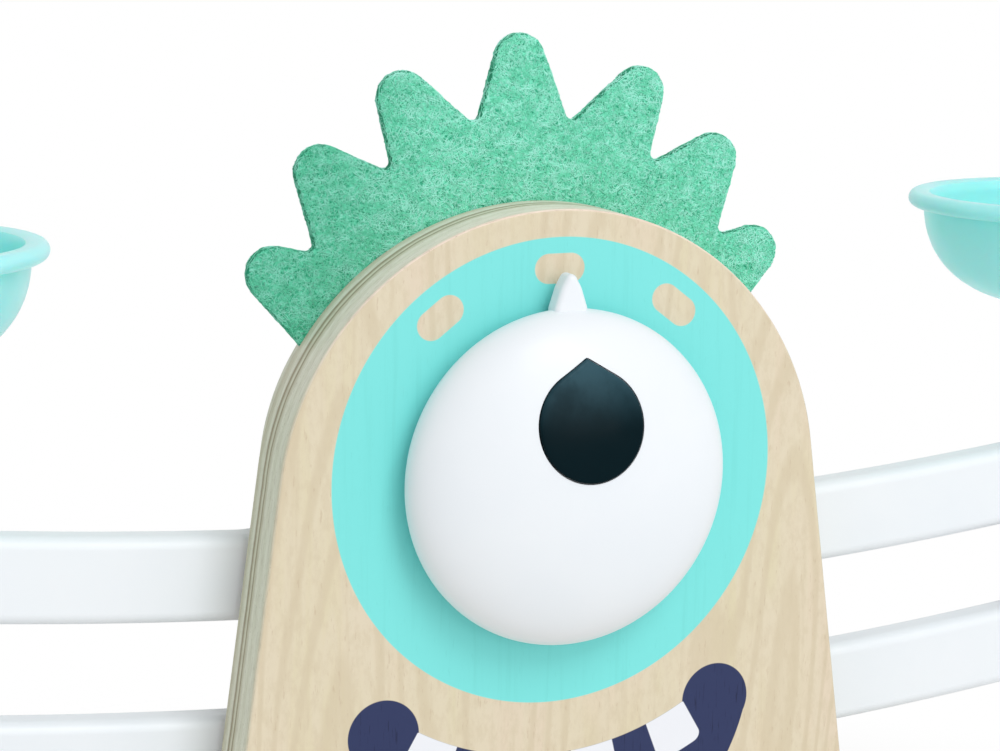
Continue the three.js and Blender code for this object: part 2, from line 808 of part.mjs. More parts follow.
const upperBeam = group(toy, 0, 0, axleHeight);
add(upperBeam, "upper_beam", beam(), whitePlastic);
add(upperBeam, "eye_axle", eyeAxle(), steel);
add(upperBeam, "axle_cap", axleCap(), whitePlastic);
add(upperBeam, "eye_hub", eyeHub(), whitePlastic);
add(upperBeam, "eye_dome", eyeDome(), whitePlastic);
add(upperBeam, "eye_pupil", eyePupil(), blackGloss);

const lowerBeam = group(toy, 0, 0, lowerPivotHeight);
add(lowerBeam, "lower_beam", beam(), whitePlastic);

for (const [hand, side] of [["left", -1], ["right", 1]]) {
  const carrier = group(toy, side * armReach, 0, axleHeight - endDrop);
  add(carrier, `${hand}_post`, post(), whitePlastic).rotation.z = side < 0 ? Math.PI : 0;
  for (const [level, z] of [["upper", 0], ["lower", -pivotSpacing]]) {
    add(carrier, `${hand}_${level}_pin`, linkPin(), steel, [0, 0, z]);
    add(carrier, `${hand}_${level}_pin_cap`, linkPinCap(), whitePlastic, [0, 0, z]);
  }
  const tray = group(carrier, 0, 0, endDrop + bowlRimHeight);
  add(tray, `${hand}_bowl`, bowl(), mintPlastic).rotation.x = Math.PI / 2;
}

export default toy;
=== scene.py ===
# %% [markdown]
# # A balance toy with one big eye
# A plywood body stands on a base with round corners. Two white beams run behind its face, one above the
# other, and hold a bowl at each end. The eye turns with the upper beam, and its pointer names the heavier
# side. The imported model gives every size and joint, and this lesson dresses it: each visible piece is
# made again with finer curves, and every surface gets a finish from shader nodes.

# %% Load the frame
import math
import random

import bmesh
import bpy
from mathutils import Matrix, Quaternion, Vector, noise
from mathutils.bvhtree import BVHTree


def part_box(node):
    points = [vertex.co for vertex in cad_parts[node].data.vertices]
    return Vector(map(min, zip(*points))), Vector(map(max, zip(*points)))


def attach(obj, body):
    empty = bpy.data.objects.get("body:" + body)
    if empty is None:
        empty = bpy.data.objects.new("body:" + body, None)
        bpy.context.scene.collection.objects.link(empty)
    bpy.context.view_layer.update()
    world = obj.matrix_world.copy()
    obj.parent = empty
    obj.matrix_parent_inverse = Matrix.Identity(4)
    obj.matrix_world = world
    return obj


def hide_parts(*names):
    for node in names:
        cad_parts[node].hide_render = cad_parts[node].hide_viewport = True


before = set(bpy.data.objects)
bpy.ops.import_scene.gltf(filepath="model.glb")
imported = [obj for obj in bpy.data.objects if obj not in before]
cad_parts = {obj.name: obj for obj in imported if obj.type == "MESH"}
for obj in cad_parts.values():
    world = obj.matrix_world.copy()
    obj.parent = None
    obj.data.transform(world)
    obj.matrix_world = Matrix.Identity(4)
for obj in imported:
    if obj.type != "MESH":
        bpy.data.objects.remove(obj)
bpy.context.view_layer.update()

# %% [markdown]
# ## Sizes
# Blender works in metres, and the toy was drawn in millimetres. One named unit keeps the numbers easy
# to read. Where a CAD node already says how big a thing is, its box is asked instead of typing it again.

# %% Sizes shared by many pieces
MM = 0.001
AXLE_Z = 165 * MM
FRONT_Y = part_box("front_panel")[0].y
FRONT_BACK_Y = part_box("front_panel")[1].y
REAR_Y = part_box("rear_panel")[0].y
REAR_BACK_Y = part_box("rear_panel")[1].y
BASE_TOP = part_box("base_plate")[1].z
ARCH_RADIUS = 70 * MM
ARCH_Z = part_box("front_panel")[1].z - ARCH_RADIUS
BODY_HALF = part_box("front_panel")[1].x
BOARD_EDGE = 0.8 * MM
LOWER_Z = AXLE_Z - 44.6 * MM
ARM_REACH = 156 * MM
END_DROP = 17.5 * MM
SIDES = ("left", -1), ("right", 1)
SMOOTH_ANGLE = math.radians(32)
FINE = 96
COARSE = 48


def box_mm(name):
    """A node's lowest and highest corner in millimetres."""
    low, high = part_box(name)
    return low / MM, high / MM


print("arch centre:", round(ARCH_Z / MM, 2), "mm up")
print("boards from", round(FRONT_Y / MM, 1), "to", round(REAR_BACK_Y / MM, 1), "mm deep")

# %% [markdown]
# ## Camera
# A photograph's view is a place, a direction and a lens. These three were worked out from the printed
# ring, whose real shape is a circle, and from the arms, which lie level. The lens is long, so the toy
# looks flat and calm, as in a shop picture.

# %% Camera
CAMERA_PLACE = Vector((-255.7, -604.4, 307.2)) * MM
CAMERA_LOOK = Vector((0.3776, 0.9074, -0.1844)).normalized()
CAMERA_RIGHT = Vector((0.924, -0.3823, 0.0107)).normalized()
CAMERA_LENS = 97.25
SENSOR_WIDTH = 36

camera_data = bpy.data.cameras.new("camera")
camera_data.lens = CAMERA_LENS
camera_data.sensor_width = SENSOR_WIDTH
camera = bpy.data.objects.new("camera", camera_data)
bpy.context.scene.collection.objects.link(camera)
camera_up = CAMERA_RIGHT.cross(CAMERA_LOOK)
turn = Matrix((CAMERA_RIGHT, camera_up, -CAMERA_LOOK)).transposed()
camera.matrix_world = Matrix.Translation(CAMERA_PLACE) @ turn.to_4x4()
bpy.context.scene.camera = camera
print("camera lens:", CAMERA_LENS, "mm")

# %% [markdown]
# ## Small helpers for nodes
# A shader is a chain of nodes. A function that adds one node and fills its sockets keeps each material
# short: a socket takes a number, a colour, or the output of an earlier node.

# %% Node helpers
def linear(red, green, blue):
    """A screen colour from 0 to 255 as the linear colour that a shader mixes."""
    screen = [value / 255 for value in (red, green, blue)]
    return (*[v / 12.92 if v <= 0.04045 else ((v + 0.055) / 1.055) ** 2.4 for v in screen], 1)


def node(tree, kind, inputs=None, **settings):
    """Adds one node, and fills its sockets by name or number."""
    made = tree.nodes.new(kind)
    for key, value in settings.items():
        setattr(made, key, value)
    for key, value in (inputs or {}).items():
        if isinstance(value, bpy.types.NodeSocket):
            tree.links.new(value, made.inputs[key])
        else:
            made.inputs[key].default_value = value
    return made


def sums(tree, operation, first, second=0.0, third=0.0):
    """One step of arithmetic on numbers or node outputs."""
    values = {0: first, 1: second, 2: third}
    return node(tree, "ShaderNodeMath", values, operation=operation).outputs[0]


def blend(tree, amount, low, high):
    """Mixes two colours by an amount from 0 to 1."""
    mixed = node(tree, "ShaderNodeMix", {0: amount, 6: low, 7: high}, data_type="RGBA")
    return mixed.outputs[2]


def dye(tree, amount, colour, tint):
    """Multiplies a colour by a tint, by an amount from 0 to 1."""
    inputs = {0: amount, 6: colour, 7: tint}
    return node(tree, "ShaderNodeMix", inputs, data_type="RGBA", blend_type="MULTIPLY").outputs[2]


def fade(tree, value, start, end, low=0.0, high=1.0):
    """A smooth step of a value between two places."""
    inputs = {"Value": value, "From Min": start, "From Max": end, "To Min": low, "To Max": high}
    ranged = node(tree, "ShaderNodeMapRange", inputs, interpolation_type="SMOOTHSTEP")
    return ranged.outputs["Result"]


def place(tree, scale=(1000, 1000, 1000), centre=(0, 0, 0)):
    """Object coordinates, measured from a centre in metres and then scaled. 1000 gives millimetres."""
    coordinates = node(tree, "ShaderNodeTexCoord").outputs["Object"]
    shifted = node(tree, "ShaderNodeVectorMath", {0: coordinates, 1: centre}, operation="SUBTRACT")
    scaled = node(tree, "ShaderNodeVectorMath", {0: shifted.outputs[0], 1: scale}, operation="MULTIPLY")
    return scaled.outputs[0]


def speckle(tree, vector, detail=4.0, roughness=0.55, distortion=0.0):
    """Soft noise from 0 to 1; the vector already holds its scale."""
    inputs = {"Vector": vector, "Scale": 1.0, "Detail": detail}
    inputs |= {"Roughness": roughness, "Distortion": distortion}
    return node(tree, "ShaderNodeTexNoise", inputs).outputs[0]


def finish(name, roughness, metallic=0.0, coat=0.0, sheen=0.0):
    """A new material with its shader; what is the same all over is set on the shader's own sockets."""
    material = bpy.data.materials.new(name)
    material.use_nodes = True
    tree = material.node_tree
    shader = tree.nodes["Principled BSDF"]
    shader.inputs["Roughness"].default_value = roughness
    shader.inputs["Metallic"].default_value = metallic
    shader.inputs["Coat Weight"].default_value = coat
    shader.inputs["Sheen Weight"].default_value = sheen
    return material, tree, shader


def raise_surface(tree, shader, height, strength, distance):
    """Small relief: light catches the surface as if it rose by the height."""
    bump = node(tree, "ShaderNodeBump", {"Height": height, "Strength": strength, "Distance": distance})
    tree.links.new(bump.outputs[0], shader.inputs["Normal"])


# %% [markdown]
# ## Plywood faces
# Birch veneer is pale, with fine upright grain, a few darker flecks, and wide patches that lean to pink
# or to yellow. Noise that is squeezed across the grain and stretched along it gives all three. The wide
# soft lines are growth rings that the knife cut through at a slant. A sine turns one slow noise into such
# lines, which keep their distance and never cross. The grain shows through the print too, because the ink
# is thin, so the same noise is used under both.

# %% Wood grain as a colour
WOOD = linear(227, 215, 190)
WOOD_YELLOW = linear(224, 213, 181)
WOOD_PINK = linear(229, 213, 190)
WOOD_STREAK = linear(214, 199, 170)
WOOD_FLECK = linear(196, 172, 140)
# Each pair is the noise's waves per metre, across the grain and along it.
PATCHES = (45, 18)
STREAKS = (520, 22)
FIGURE = (150, 14)
FLECKS = (1300, 260)
MOTTLE = (420, 190)
RING_SLOPE = (22, 3)
RING_TURNS = 130


def grain(tree, along="z"):
    """The veneer's colour, and its grain from 0 (pale) to 1 (dark)."""
    def stretched(across, lengthwise):
        scale = {"x": (lengthwise, across, across), "z": (across, across, lengthwise)}[along]
        return place(tree, scale)

    patches = speckle(tree, stretched(*PATCHES), detail=2)
    streaks = speckle(tree, stretched(*STREAKS), detail=5, roughness=0.6, distortion=0.3)
    figure = speckle(tree, stretched(*FIGURE), detail=3, distortion=1.2)
    flecks = speckle(tree, stretched(*FLECKS), detail=3, roughness=0.6)
    mottle = speckle(tree, stretched(*MOTTLE), detail=6, roughness=0.72)
    slope = speckle(tree, stretched(*RING_SLOPE), detail=1.5, roughness=0.4)
    ring_lines = sums(tree, "SINE", sums(tree, "MULTIPLY", slope, RING_TURNS))
    base = blend(tree, fade(tree, patches, 0.35, 0.65), WOOD_YELLOW, WOOD_PINK)
    base = blend(tree, fade(tree, figure, 0.3, 0.6, 0.0, 0.8), base, WOOD)
    dark_streaks = fade(tree, streaks, 0.5, 0.78, 0.0, 0.5)
    dark_flecks = fade(tree, flecks, 0.6, 0.74, 0.0, 0.4)
    base = blend(tree, dark_streaks, base, WOOD_STREAK)
    base = blend(tree, fade(tree, mottle, 0.42, 0.66, 0.0, 0.5), base, WOOD_STREAK)
    base = blend(tree, fade(tree, ring_lines, 0.1, 1.0, 0.0, 0.6), base, WOOD_STREAK)
    colour = blend(tree, dark_flecks, base, WOOD_FLECK)
    return colour, sums(tree, "MAXIMUM", dark_streaks, dark_flecks)


def veneer_material(name, along="z"):
    material, tree, shader = finish(name, roughness=0.48, coat=0.12)
    colour, darkness = grain(tree, along)
    tree.links.new(colour, shader.inputs["Base Color"])
    raise_surface(tree, shader, darkness, 0.12, 0.1 * MM)
    return material


veneer = veneer_material("birch_veneer")
base_veneer = veneer_material("birch_veneer_base", along="x")
print("veneer:", len(veneer.node_tree.nodes), "nodes")

# %% [markdown]
# ## The printed front
# The ring, its three bare marks and the smile are ink on the veneer. Each is drawn by its distance from
# a centre: where the distance is less than the radius, there is ink. A capsule is the distance to a
# short line, and the smile is a big circle with another one taken away and a small disc at each end. The
# ink takes some of the veneer's shine, so this face gleams a little less than bare wood.

# %% Print helpers
RING_RADIUS = 57.0
MARK_REACH = 49.5
MARK_ANGLE = math.radians(37.6)
MARK_HALF_LENGTH = 2.8
MARK_HALF_HEIGHT = 3.6
INK_EDGE = 0.12


def inside(tree, distance, radius):
    """1 within a radius and 0 outside it, with an edge as soft as ink."""
    return fade(tree, distance, radius - INK_EDGE, radius + INK_EDGE, 1.0, 0.0)


def distance_to(tree, x, z, centre_x, centre_z):
    across = sums(tree, "SUBTRACT", x, centre_x)
    up = sums(tree, "SUBTRACT", z, centre_z)
    corner = node(tree, "ShaderNodeCombineXYZ", {0: across, 2: up}).outputs[0]
    return node(tree, "ShaderNodeVectorMath", {0: corner}, operation="LENGTH").outputs["Value"]


def capsule(tree, x, z, reach, angle):
    """A short upright-ended bar whose middle lies at a reach and an angle from straight up."""
    sine, cosine = math.sin(angle), math.cos(angle)
    along = sums(tree, "MULTIPLY_ADD", z, -sine, sums(tree, "MULTIPLY", x, cosine))
    out = sums(tree, "MULTIPLY_ADD", z, cosine, sums(tree, "MULTIPLY", x, sine))
    beyond = sums(tree, "SUBTRACT", sums(tree, "ABSOLUTE", along), MARK_HALF_LENGTH)
    beyond = sums(tree, "MAXIMUM", beyond, 0.0)
    return inside(tree, distance_to(tree, beyond, out, 0.0, reach), MARK_HALF_HEIGHT)


# %% The smile: two circles, two discs and a row of square teeth
SMILE_TOP_RADIUS = 70.3
SMILE_LOW_RADIUS = 53.9
SMILE_LOW_Z = -51.1
SMILE_DISC_X = 44.0
SMILE_DISC_Z = -61.0
SMILE_DISC_RADIUS = 9.0
TOOTH_STEP = math.radians(17)
TOOTH_HALF = 5.6
TOOTH_LENGTH = 11.0
TOOTH_ROUND = 2.2


def smile_masks(tree, x, z):
    """Where the smile's ink lies, and where its white teeth lie."""
    side = sums(tree, "ABSOLUTE", x)
    reach = distance_to(tree, x, z, 0.0, 0.0)
    under_top = fade(tree, reach, SMILE_TOP_RADIUS - INK_EDGE, SMILE_TOP_RADIUS + INK_EDGE)
    low = inside(tree, distance_to(tree, x, z, 0.0, SMILE_LOW_Z), SMILE_LOW_RADIUS)
    below_disc = fade(tree, z, SMILE_DISC_Z - INK_EDGE, SMILE_DISC_Z + INK_EDGE, 1.0, 0.0)
    crescent = sums(tree, "MULTIPLY", sums(tree, "MULTIPLY", under_top, low), below_disc)
    disc = inside(tree, distance_to(tree, side, z, SMILE_DISC_X, SMILE_DISC_Z), SMILE_DISC_RADIUS)
    ink = sums(tree, "MAXIMUM", crescent, disc)

    angle = sums(tree, "ARCTAN2", x, sums(tree, "MULTIPLY", z, -1.0))
    turns = sums(tree, "DIVIDE", angle, TOOTH_STEP)
    nearest = sums(tree, "ADD", sums(tree, "FLOOR", turns), 0.5)
    across = sums(tree, "MULTIPLY", sums(tree, "SUBTRACT", turns, nearest), TOOTH_STEP * SMILE_TOP_RADIUS)
    across = sums(tree, "SUBTRACT", sums(tree, "ABSOLUTE", across), TOOTH_HALF - TOOTH_ROUND)
    across = sums(tree, "MAXIMUM", across, 0.0)
    down = sums(tree, "SUBTRACT", reach, SMILE_TOP_RADIUS + TOOTH_LENGTH - TOOTH_ROUND)
    down = sums(tree, "MAXIMUM", down, 0.0)
    tooth = inside(tree, distance_to(tree, across, down, 0.0, 0.0), TOOTH_ROUND)
    within_row = inside(tree, sums(tree, "ABSOLUTE", turns), 2.0)
    white = sums(tree, "MULTIPLY", sums(tree, "MULTIPLY", tooth, crescent), within_row)
    return ink, white


# %% The front face
RING_INK = linear(129, 231, 227)
RING_PORE = linear(92, 196, 188)
SMILE_INK = linear(44, 54, 94)
SMILE_PORE = linear(29, 36, 70)
TOOTH_INK = linear(240, 242, 248)
INK_PORES = (2300, 1, 120)


def printed_material():
    material, tree, shader = finish("birch_veneer_printed", roughness=0.5, coat=0.04)
    shader.inputs["Specular IOR Level"].default_value = 0.25
    wood, darkness = grain(tree)
    spot = node(tree, "ShaderNodeSeparateXYZ", {0: place(tree, centre=(0, 0, AXLE_Z))})
    x, z = spot.outputs[0], spot.outputs[2]
    ring = inside(tree, distance_to(tree, x, z, 0.0, 0.0), RING_RADIUS)
    middle_mark = capsule(tree, x, z, MARK_REACH, 0.0)
    side_marks = capsule(tree, sums(tree, "ABSOLUTE", x), z, MARK_REACH, MARK_ANGLE)
    marks = sums(tree, "MAXIMUM", middle_mark, side_marks)
    ring = sums(tree, "MULTIPLY", ring, sums(tree, "SUBTRACT", 1.0, marks))
    ring_colour = blend(tree, sums(tree, "MULTIPLY", darkness, 0.3), RING_INK, RING_PORE)
    ink, white = smile_masks(tree, x, z)
    pores = speckle(tree, place(tree, INK_PORES), detail=3)
    smile_colour = blend(tree, fade(tree, pores, 0.6, 0.68), SMILE_INK, SMILE_PORE)
    colour = blend(tree, ring, wood, ring_colour)
    colour = blend(tree, ink, colour, smile_colour)
    colour = blend(tree, white, colour, TOOTH_INK)
    tree.links.new(colour, shader.inputs["Base Color"])
    raise_surface(tree, shader, darkness, 0.1, 0.1 * MM)
    return material


printed_veneer = printed_material()
print("printed front:", len(printed_veneer.node_tree.nodes), "nodes")

# %% [markdown]
# ## Plywood edges
# A sanded edge shows the plies one by one. In every other ply the fibres end at the surface, so it looks
# darker and rougher. A colour ramp across the board's thickness gives each ply its own tone, and noise
# stretched along the edge bends the glue lines a little, as in real board. Round the arch a painted
# highlight makes the edge paler than down the sides, for the light that falls on it from above.

# %% Edge materials
PLY_PALE = linear(230, 230, 210)
PLY_MIDDLE = linear(222, 222, 199)
PLY_DARK = linear(205, 202, 176)
PLY_SEAM = linear(154, 142, 112)
PLY_FACE = linear(222, 211, 187)
# Painted highlight: a tint above 1 that lightens the edge over the arch, between two heights.
PLY_ARCH_PAINTED_LIGHT = (1.26, 1.15, 1.26, 1)
ARCH_PAINTED_LIGHT_FROM = 170 * MM
ARCH_PAINTED_LIGHT_TO = 222 * MM
PLY_SWAY = 0.07
PLY_RIPPLE = 0.03
# Each row is a place across the thickness, from 0 at the front to 1 at the back, and its colour.
THICK_PLIES = (
    (0.0, PLY_FACE),
    (0.07, PLY_MIDDLE),
    (0.18, PLY_PALE),
    (0.31, PLY_MIDDLE),
    (0.42, PLY_PALE),
    (0.52, PLY_DARK),
    (0.56, PLY_SEAM),
    (0.61, PLY_MIDDLE),
    (0.70, PLY_SEAM),
    (0.76, PLY_PALE),
    (0.93, PLY_DARK),
)
THIN_PLIES = (
    (0.0, PLY_PALE),
    (0.2, PLY_DARK),
    (0.4, PLY_PALE),
    (0.62, PLY_DARK),
    (0.82, PLY_PALE),
)


def ply_material(name, axis, start, thickness, plies):
    """An edge whose plies lie across one axis, from a start in metres."""
    material, tree, shader = finish(name, roughness=0.62, coat=0.05)
    spot = node(tree, "ShaderNodeSeparateXYZ", {0: place(tree, (1, 1, 1))})
    depth = sums(tree, "SUBTRACT", spot.outputs[axis], start)
    depth = sums(tree, "DIVIDE", depth, thickness)
    sway = speckle(tree, place(tree, (28, 28, 28)), detail=2)
    ripple = speckle(tree, place(tree, (220, 220, 220)), detail=3)
    depth = sums(tree, "MULTIPLY_ADD", sums(tree, "SUBTRACT", sway, 0.5), PLY_SWAY, depth)
    depth = sums(tree, "MULTIPLY_ADD", sums(tree, "SUBTRACT", ripple, 0.5), PLY_RIPPLE, depth)
    ramp = node(tree, "ShaderNodeValToRGB", {0: depth})
    ramp.color_ramp.interpolation = "EASE"
    elements = ramp.color_ramp.elements
    elements[0].position, elements[0].color = plies[0]
    elements[1].position, elements[1].color = plies[-1]
    for position, colour in plies[1:-1]:
        elements.new(position).color = colour
    scale = [260, 260, 260]
    scale[axis] = 2600
    fibres = speckle(tree, place(tree, tuple(scale)), detail=5, roughness=0.65)
    pores = speckle(tree, place(tree, (1500, 1500, 1500)), detail=2)
    colour = blend(tree, fade(tree, fibres, 0.42, 0.75, 0.0, 0.45), ramp.outputs[0], PLY_SEAM)
    colour = blend(tree, fade(tree, pores, 0.62, 0.75, 0.0, 0.35), colour, PLY_SEAM)
    # Painted highlight over the arch, where more light falls on the edge from above.
    arch = fade(tree, spot.outputs[2], ARCH_PAINTED_LIGHT_FROM, ARCH_PAINTED_LIGHT_TO)
    colour = dye(tree, arch, colour, PLY_ARCH_PAINTED_LIGHT)
    tree.links.new(colour, shader.inputs["Base Color"])
    relief = sums(tree, "ADD", fibres, sums(tree, "MULTIPLY", pores, 0.5))
    raise_surface(tree, shader, relief, 0.25, 0.15 * MM)
    return material


FRONT_THICKNESS = FRONT_BACK_Y - FRONT_Y
REAR_THICKNESS = REAR_BACK_Y - REAR_Y
BASE_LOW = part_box("base_plate")[0].z
front_edge = ply_material("plywood_edge_front", 1, FRONT_Y, FRONT_THICKNESS, THICK_PLIES)
rear_edge = ply_material("plywood_edge_rear", 1, REAR_Y, REAR_THICKNESS, THIN_PLIES)
base_edge = ply_material("plywood_edge_base", 2, BASE_LOW, BASE_TOP - BASE_LOW, THICK_PLIES)
print("board edges:", round(FRONT_THICKNESS / MM, 1), "and", round(REAR_THICKNESS / MM, 1), "mm thick")

# %% [markdown]
# ## Solid beech
# The blocks and pegs between the boards are beech: warmer than birch, with short brown flecks that run
# with the grain.

# %% Beech
BEECH_PALE = linear(222, 190, 148)
BEECH_DARK = linear(204, 167, 122)
BEECH_FLECK = linear(163, 118, 78)


def beech_material(name, along):
    material, tree, shader = finish(name, roughness=0.5, coat=0.08)
    long = {"x": (30, 420, 420), "y": (420, 30, 420)}[along]
    fine = {"x": (260, 2200, 2200), "y": (2200, 260, 2200)}[along]
    rings = speckle(tree, place(tree, long), detail=4, distortion=0.6)
    flecks = speckle(tree, place(tree, fine), detail=2)
    colour = blend(tree, fade(tree, rings, 0.35, 0.7), BEECH_PALE, BEECH_DARK)
    colour = blend(tree, fade(tree, flecks, 0.6, 0.7, 0.0, 0.6), colour, BEECH_FLECK)
    tree.links.new(colour, shader.inputs["Base Color"])
    raise_surface(tree, shader, flecks, 0.15, 0.1 * MM)
    return material


beech = beech_material("beech", "x")
beech_peg = beech_material("beech_peg", "y")
print("beech:", len(beech.node_tree.nodes), "nodes")

# %% [markdown]
# ## Felt
# Needle felt is a mat of crossing fibres. Soft noise passes through its middle value along curling lines,
# as a map's level lines do, and those lines, broken up by a second noise, look like single fibres. Four
# such layers, each with its own scale and place, lie over darker hollows and dents, and cross in every
# way, as in a needled mat. Sheen gives the soft halo of loose ends.

# %% Felt
FELT_PALE = linear(184, 255, 238)
FELT_BODY = linear(126, 234, 199)
FELT_DEEP = linear(34, 158, 118)
# Painted shade: a darker tint that multiplies the felt's colour towards the left points.
FELT_PAINTED_SHADE = (0.66, 0.8, 0.75, 1)
# Partly the denser cut edge's own colour, and partly painted shade on the felt's cut sides.
FELT_CUT_DENSE_AND_SHADED = linear(46, 128, 98)
FELT_PAINTED_SHADE_FROM = -18
FELT_PAINTED_SHADE_TO = -58
# Each row is a layer's waves per metre, its place, and how wide its lines are.
FELT_THREADS = (
    ((330, 500, 420), (0.31, 0.0, 0.0), 0.045),
    ((500, 620, 360), (0.0, 0.53, 0.17), 0.045),
    ((560, 560, 640), (0.71, 0.11, 0.0), 0.05),
    ((380, 460, 520), (0.13, 0.29, 0.61), 0.045),
)
FELT_HOLLOWS = (700, 900, 840)
FELT_TUFTS = (260, 300, 280)
FELT_DENTS = (380, 420, 400)


def threads(tree, scale, offset, width):
    """Curling lines: the places where soft noise passes through its middle value."""
    level = speckle(tree, place(tree, scale, offset), detail=1.5, roughness=0.4, distortion=0.8)
    away = sums(tree, "ABSOLUTE", sums(tree, "SUBTRACT", level, 0.5))
    lines = fade(tree, away, 0.0, width, 1.0, 0.0)
    breaks = speckle(tree, place(tree, tuple(1.7 * v for v in scale), offset), detail=1)
    return sums(tree, "MULTIPLY", lines, fade(tree, breaks, 0.42, 0.6))


def wool(name):
    """A rough finish with a soft halo, for felt and for its single fibres."""
    material, tree, shader = finish(name, roughness=0.95, sheen=0.2)
    shader.inputs["Sheen Roughness"].default_value = 0.5
    shader.inputs["Sheen Tint"].default_value = FELT_PALE
    shader.inputs["Specular IOR Level"].default_value = 0.15
    return material, tree, shader


def with_painted_shade(tree, colour):
    """Painted shade: multiplies the colour darker towards the left points, for the weaker light there."""
    across = node(tree, "ShaderNodeSeparateXYZ", {0: place(tree)}).outputs[0]
    painted_shade_amount = fade(tree, across, FELT_PAINTED_SHADE_FROM, FELT_PAINTED_SHADE_TO)
    return dye(tree, painted_shade_amount, colour, FELT_PAINTED_SHADE)


def felt_material():
    material, tree, shader = wool("mint_felt")
    fibres = threads(tree, *FELT_THREADS[0])
    for layer in FELT_THREADS[1:]:
        fibres = sums(tree, "MAXIMUM", fibres, threads(tree, *layer))
    hollows = speckle(tree, place(tree, FELT_HOLLOWS), detail=4, roughness=0.65, distortion=2.2)
    tufts = speckle(tree, place(tree, FELT_TUFTS), detail=3)
    dents = speckle(tree, place(tree, FELT_DENTS), detail=3, roughness=0.6, distortion=1.2)
    body = blend(tree, fade(tree, hollows, 0.38, 0.56), FELT_DEEP, FELT_BODY)
    body = blend(tree, fade(tree, tufts, 0.4, 0.65, 0.0, 0.3), body, FELT_BODY)
    body = blend(tree, fade(tree, dents, 0.36, 0.5, 0.4, 0.0), body, FELT_DEEP)
    colour = blend(tree, sums(tree, "MULTIPLY", fibres, 0.7), body, FELT_PALE)
    tree.links.new(with_painted_shade(tree, colour), shader.inputs["Base Color"])
    height = sums(tree, "MULTIPLY_ADD", fibres, 0.6, hollows)
    height = sums(tree, "MULTIPLY_ADD", dents, 2.5, height)
    raise_surface(tree, shader, height, 0.75, 0.3 * MM)
    return material


def cut_felt_material():
    """The cut edge is darker than the face: partly as it is denser, and partly as painted shade on the cut
    sides.
    """
    material, tree, shader = wool("mint_felt_cut")
    hollows = speckle(tree, place(tree, (900, 500, 900)), detail=4, roughness=0.7)
    colour = blend(tree, fade(tree, hollows, 0.35, 0.65), FELT_CUT_DENSE_AND_SHADED, FELT_DEEP)
    tree.links.new(colour, shader.inputs["Base Color"])
    raise_surface(tree, shader, hollows, 0.7, 0.3 * MM)
    return material


def fibre_material():
    material, tree, shader = wool("mint_wool_fibre")
    strand = speckle(tree, place(tree, (240, 420, 420)), detail=2)
    colour = blend(tree, fade(tree, strand, 0.35, 0.65), FELT_BODY, FELT_PALE)
    # The fibres get the same painted shade towards the left points.
    tree.links.new(with_painted_shade(tree, colour), shader.inputs["Base Color"])
    return material


felt = felt_material()
cut_felt = cut_felt_material()
wool_fibre = fibre_material()
print("felt:", len(felt.node_tree.nodes), "nodes")

# %% [markdown]
# ## Moulded plastic
# Moulded plastic is even in colour, with a faint waviness from the mould. A weak bump and a small change
# in roughness break up its highlights, which is what keeps plastic from looking like plain paint. The
# bowls' thin walls let some light through, green further than red, so light is scattered under their
# skin. The pupil is nearly black, and towards its point a painted reflection lightens it in mottled patches.

# %% Plastics
WHITE = linear(242, 246, 250)
WHITE_CLOUD = linear(238, 243, 248)
MINT = linear(172, 255, 247)
MINT_CLOUD = linear(166, 253, 244)
NYLON = linear(219, 213, 200)
NYLON_CLOUD = linear(210, 204, 190)
POLISH = 0.05
WEAR = 0.08


def plastic_material(name, colour, shade, roughness, coat=0.0):
    material, tree, shader = finish(name, roughness, coat=coat)
    shader.inputs["Coat Roughness"].default_value = 0.12
    clouds = speckle(tree, place(tree, (22, 22, 22)), detail=3)
    tone = blend(tree, fade(tree, clouds, 0.3, 0.7), colour, shade)
    tree.links.new(tone, shader.inputs["Base Color"])
    wear = speckle(tree, place(tree, (110, 110, 110)), detail=6, roughness=0.65)
    rough = fade(tree, wear, 0.3, 0.75, roughness - POLISH, roughness + WEAR)
    tree.links.new(rough, shader.inputs["Roughness"])
    skin = speckle(tree, place(tree, (1400, 1400, 1400)), detail=2)
    raise_surface(tree, shader, skin, 0.05, 0.05 * MM)
    return material


white_plastic = plastic_material("white_plastic", WHITE, WHITE_CLOUD, 0.44, coat=0.03)
nylon = plastic_material("nylon", NYLON, NYLON_CLOUD, 0.5)

# %% Mint plastic, with light under its skin
GLOW_REACH = 8 * MM
GLOW_COLOUR = (0.3, 1, 0.8)

mint_plastic = plastic_material("mint_plastic", MINT, MINT_CLOUD, 0.34, coat=0.08)
glow = mint_plastic.node_tree.nodes["Principled BSDF"].inputs
glow["Subsurface Weight"].default_value = 1.0
glow["Subsurface Radius"].default_value = GLOW_COLOUR
glow["Subsurface Scale"].default_value = GLOW_REACH

# %% Black plastic, with a painted reflection towards the pupil's point
PUPIL_INK = linear(2, 24, 30)
# Painted reflection: a paler blue that stands in for the light above mirrored near the pupil's point.
PUPIL_PAINTED_REFLECTION = linear(58, 92, 104)
PUPIL_REFLECTION_FROM = 178
PUPIL_REFLECTION_TO = 197


def paint_reflection(tree, shader):
    """Painted reflection: lightens the plastic in mottled patches between two heights in millimetres."""
    up = node(tree, "ShaderNodeSeparateXYZ", {0: place(tree)}).outputs[2]
    clouds = speckle(tree, place(tree, (95, 95, 70)), detail=4)
    rise = fade(tree, up, PUPIL_REFLECTION_FROM, PUPIL_REFLECTION_TO, 0.0, 0.75)
    share = sums(tree, "MULTIPLY", rise, fade(tree, clouds, 0.3, 0.6, 0.55, 1.2))
    tree.links.new(blend(tree, share, PUPIL_INK, PUPIL_PAINTED_REFLECTION), shader.inputs["Base Color"])


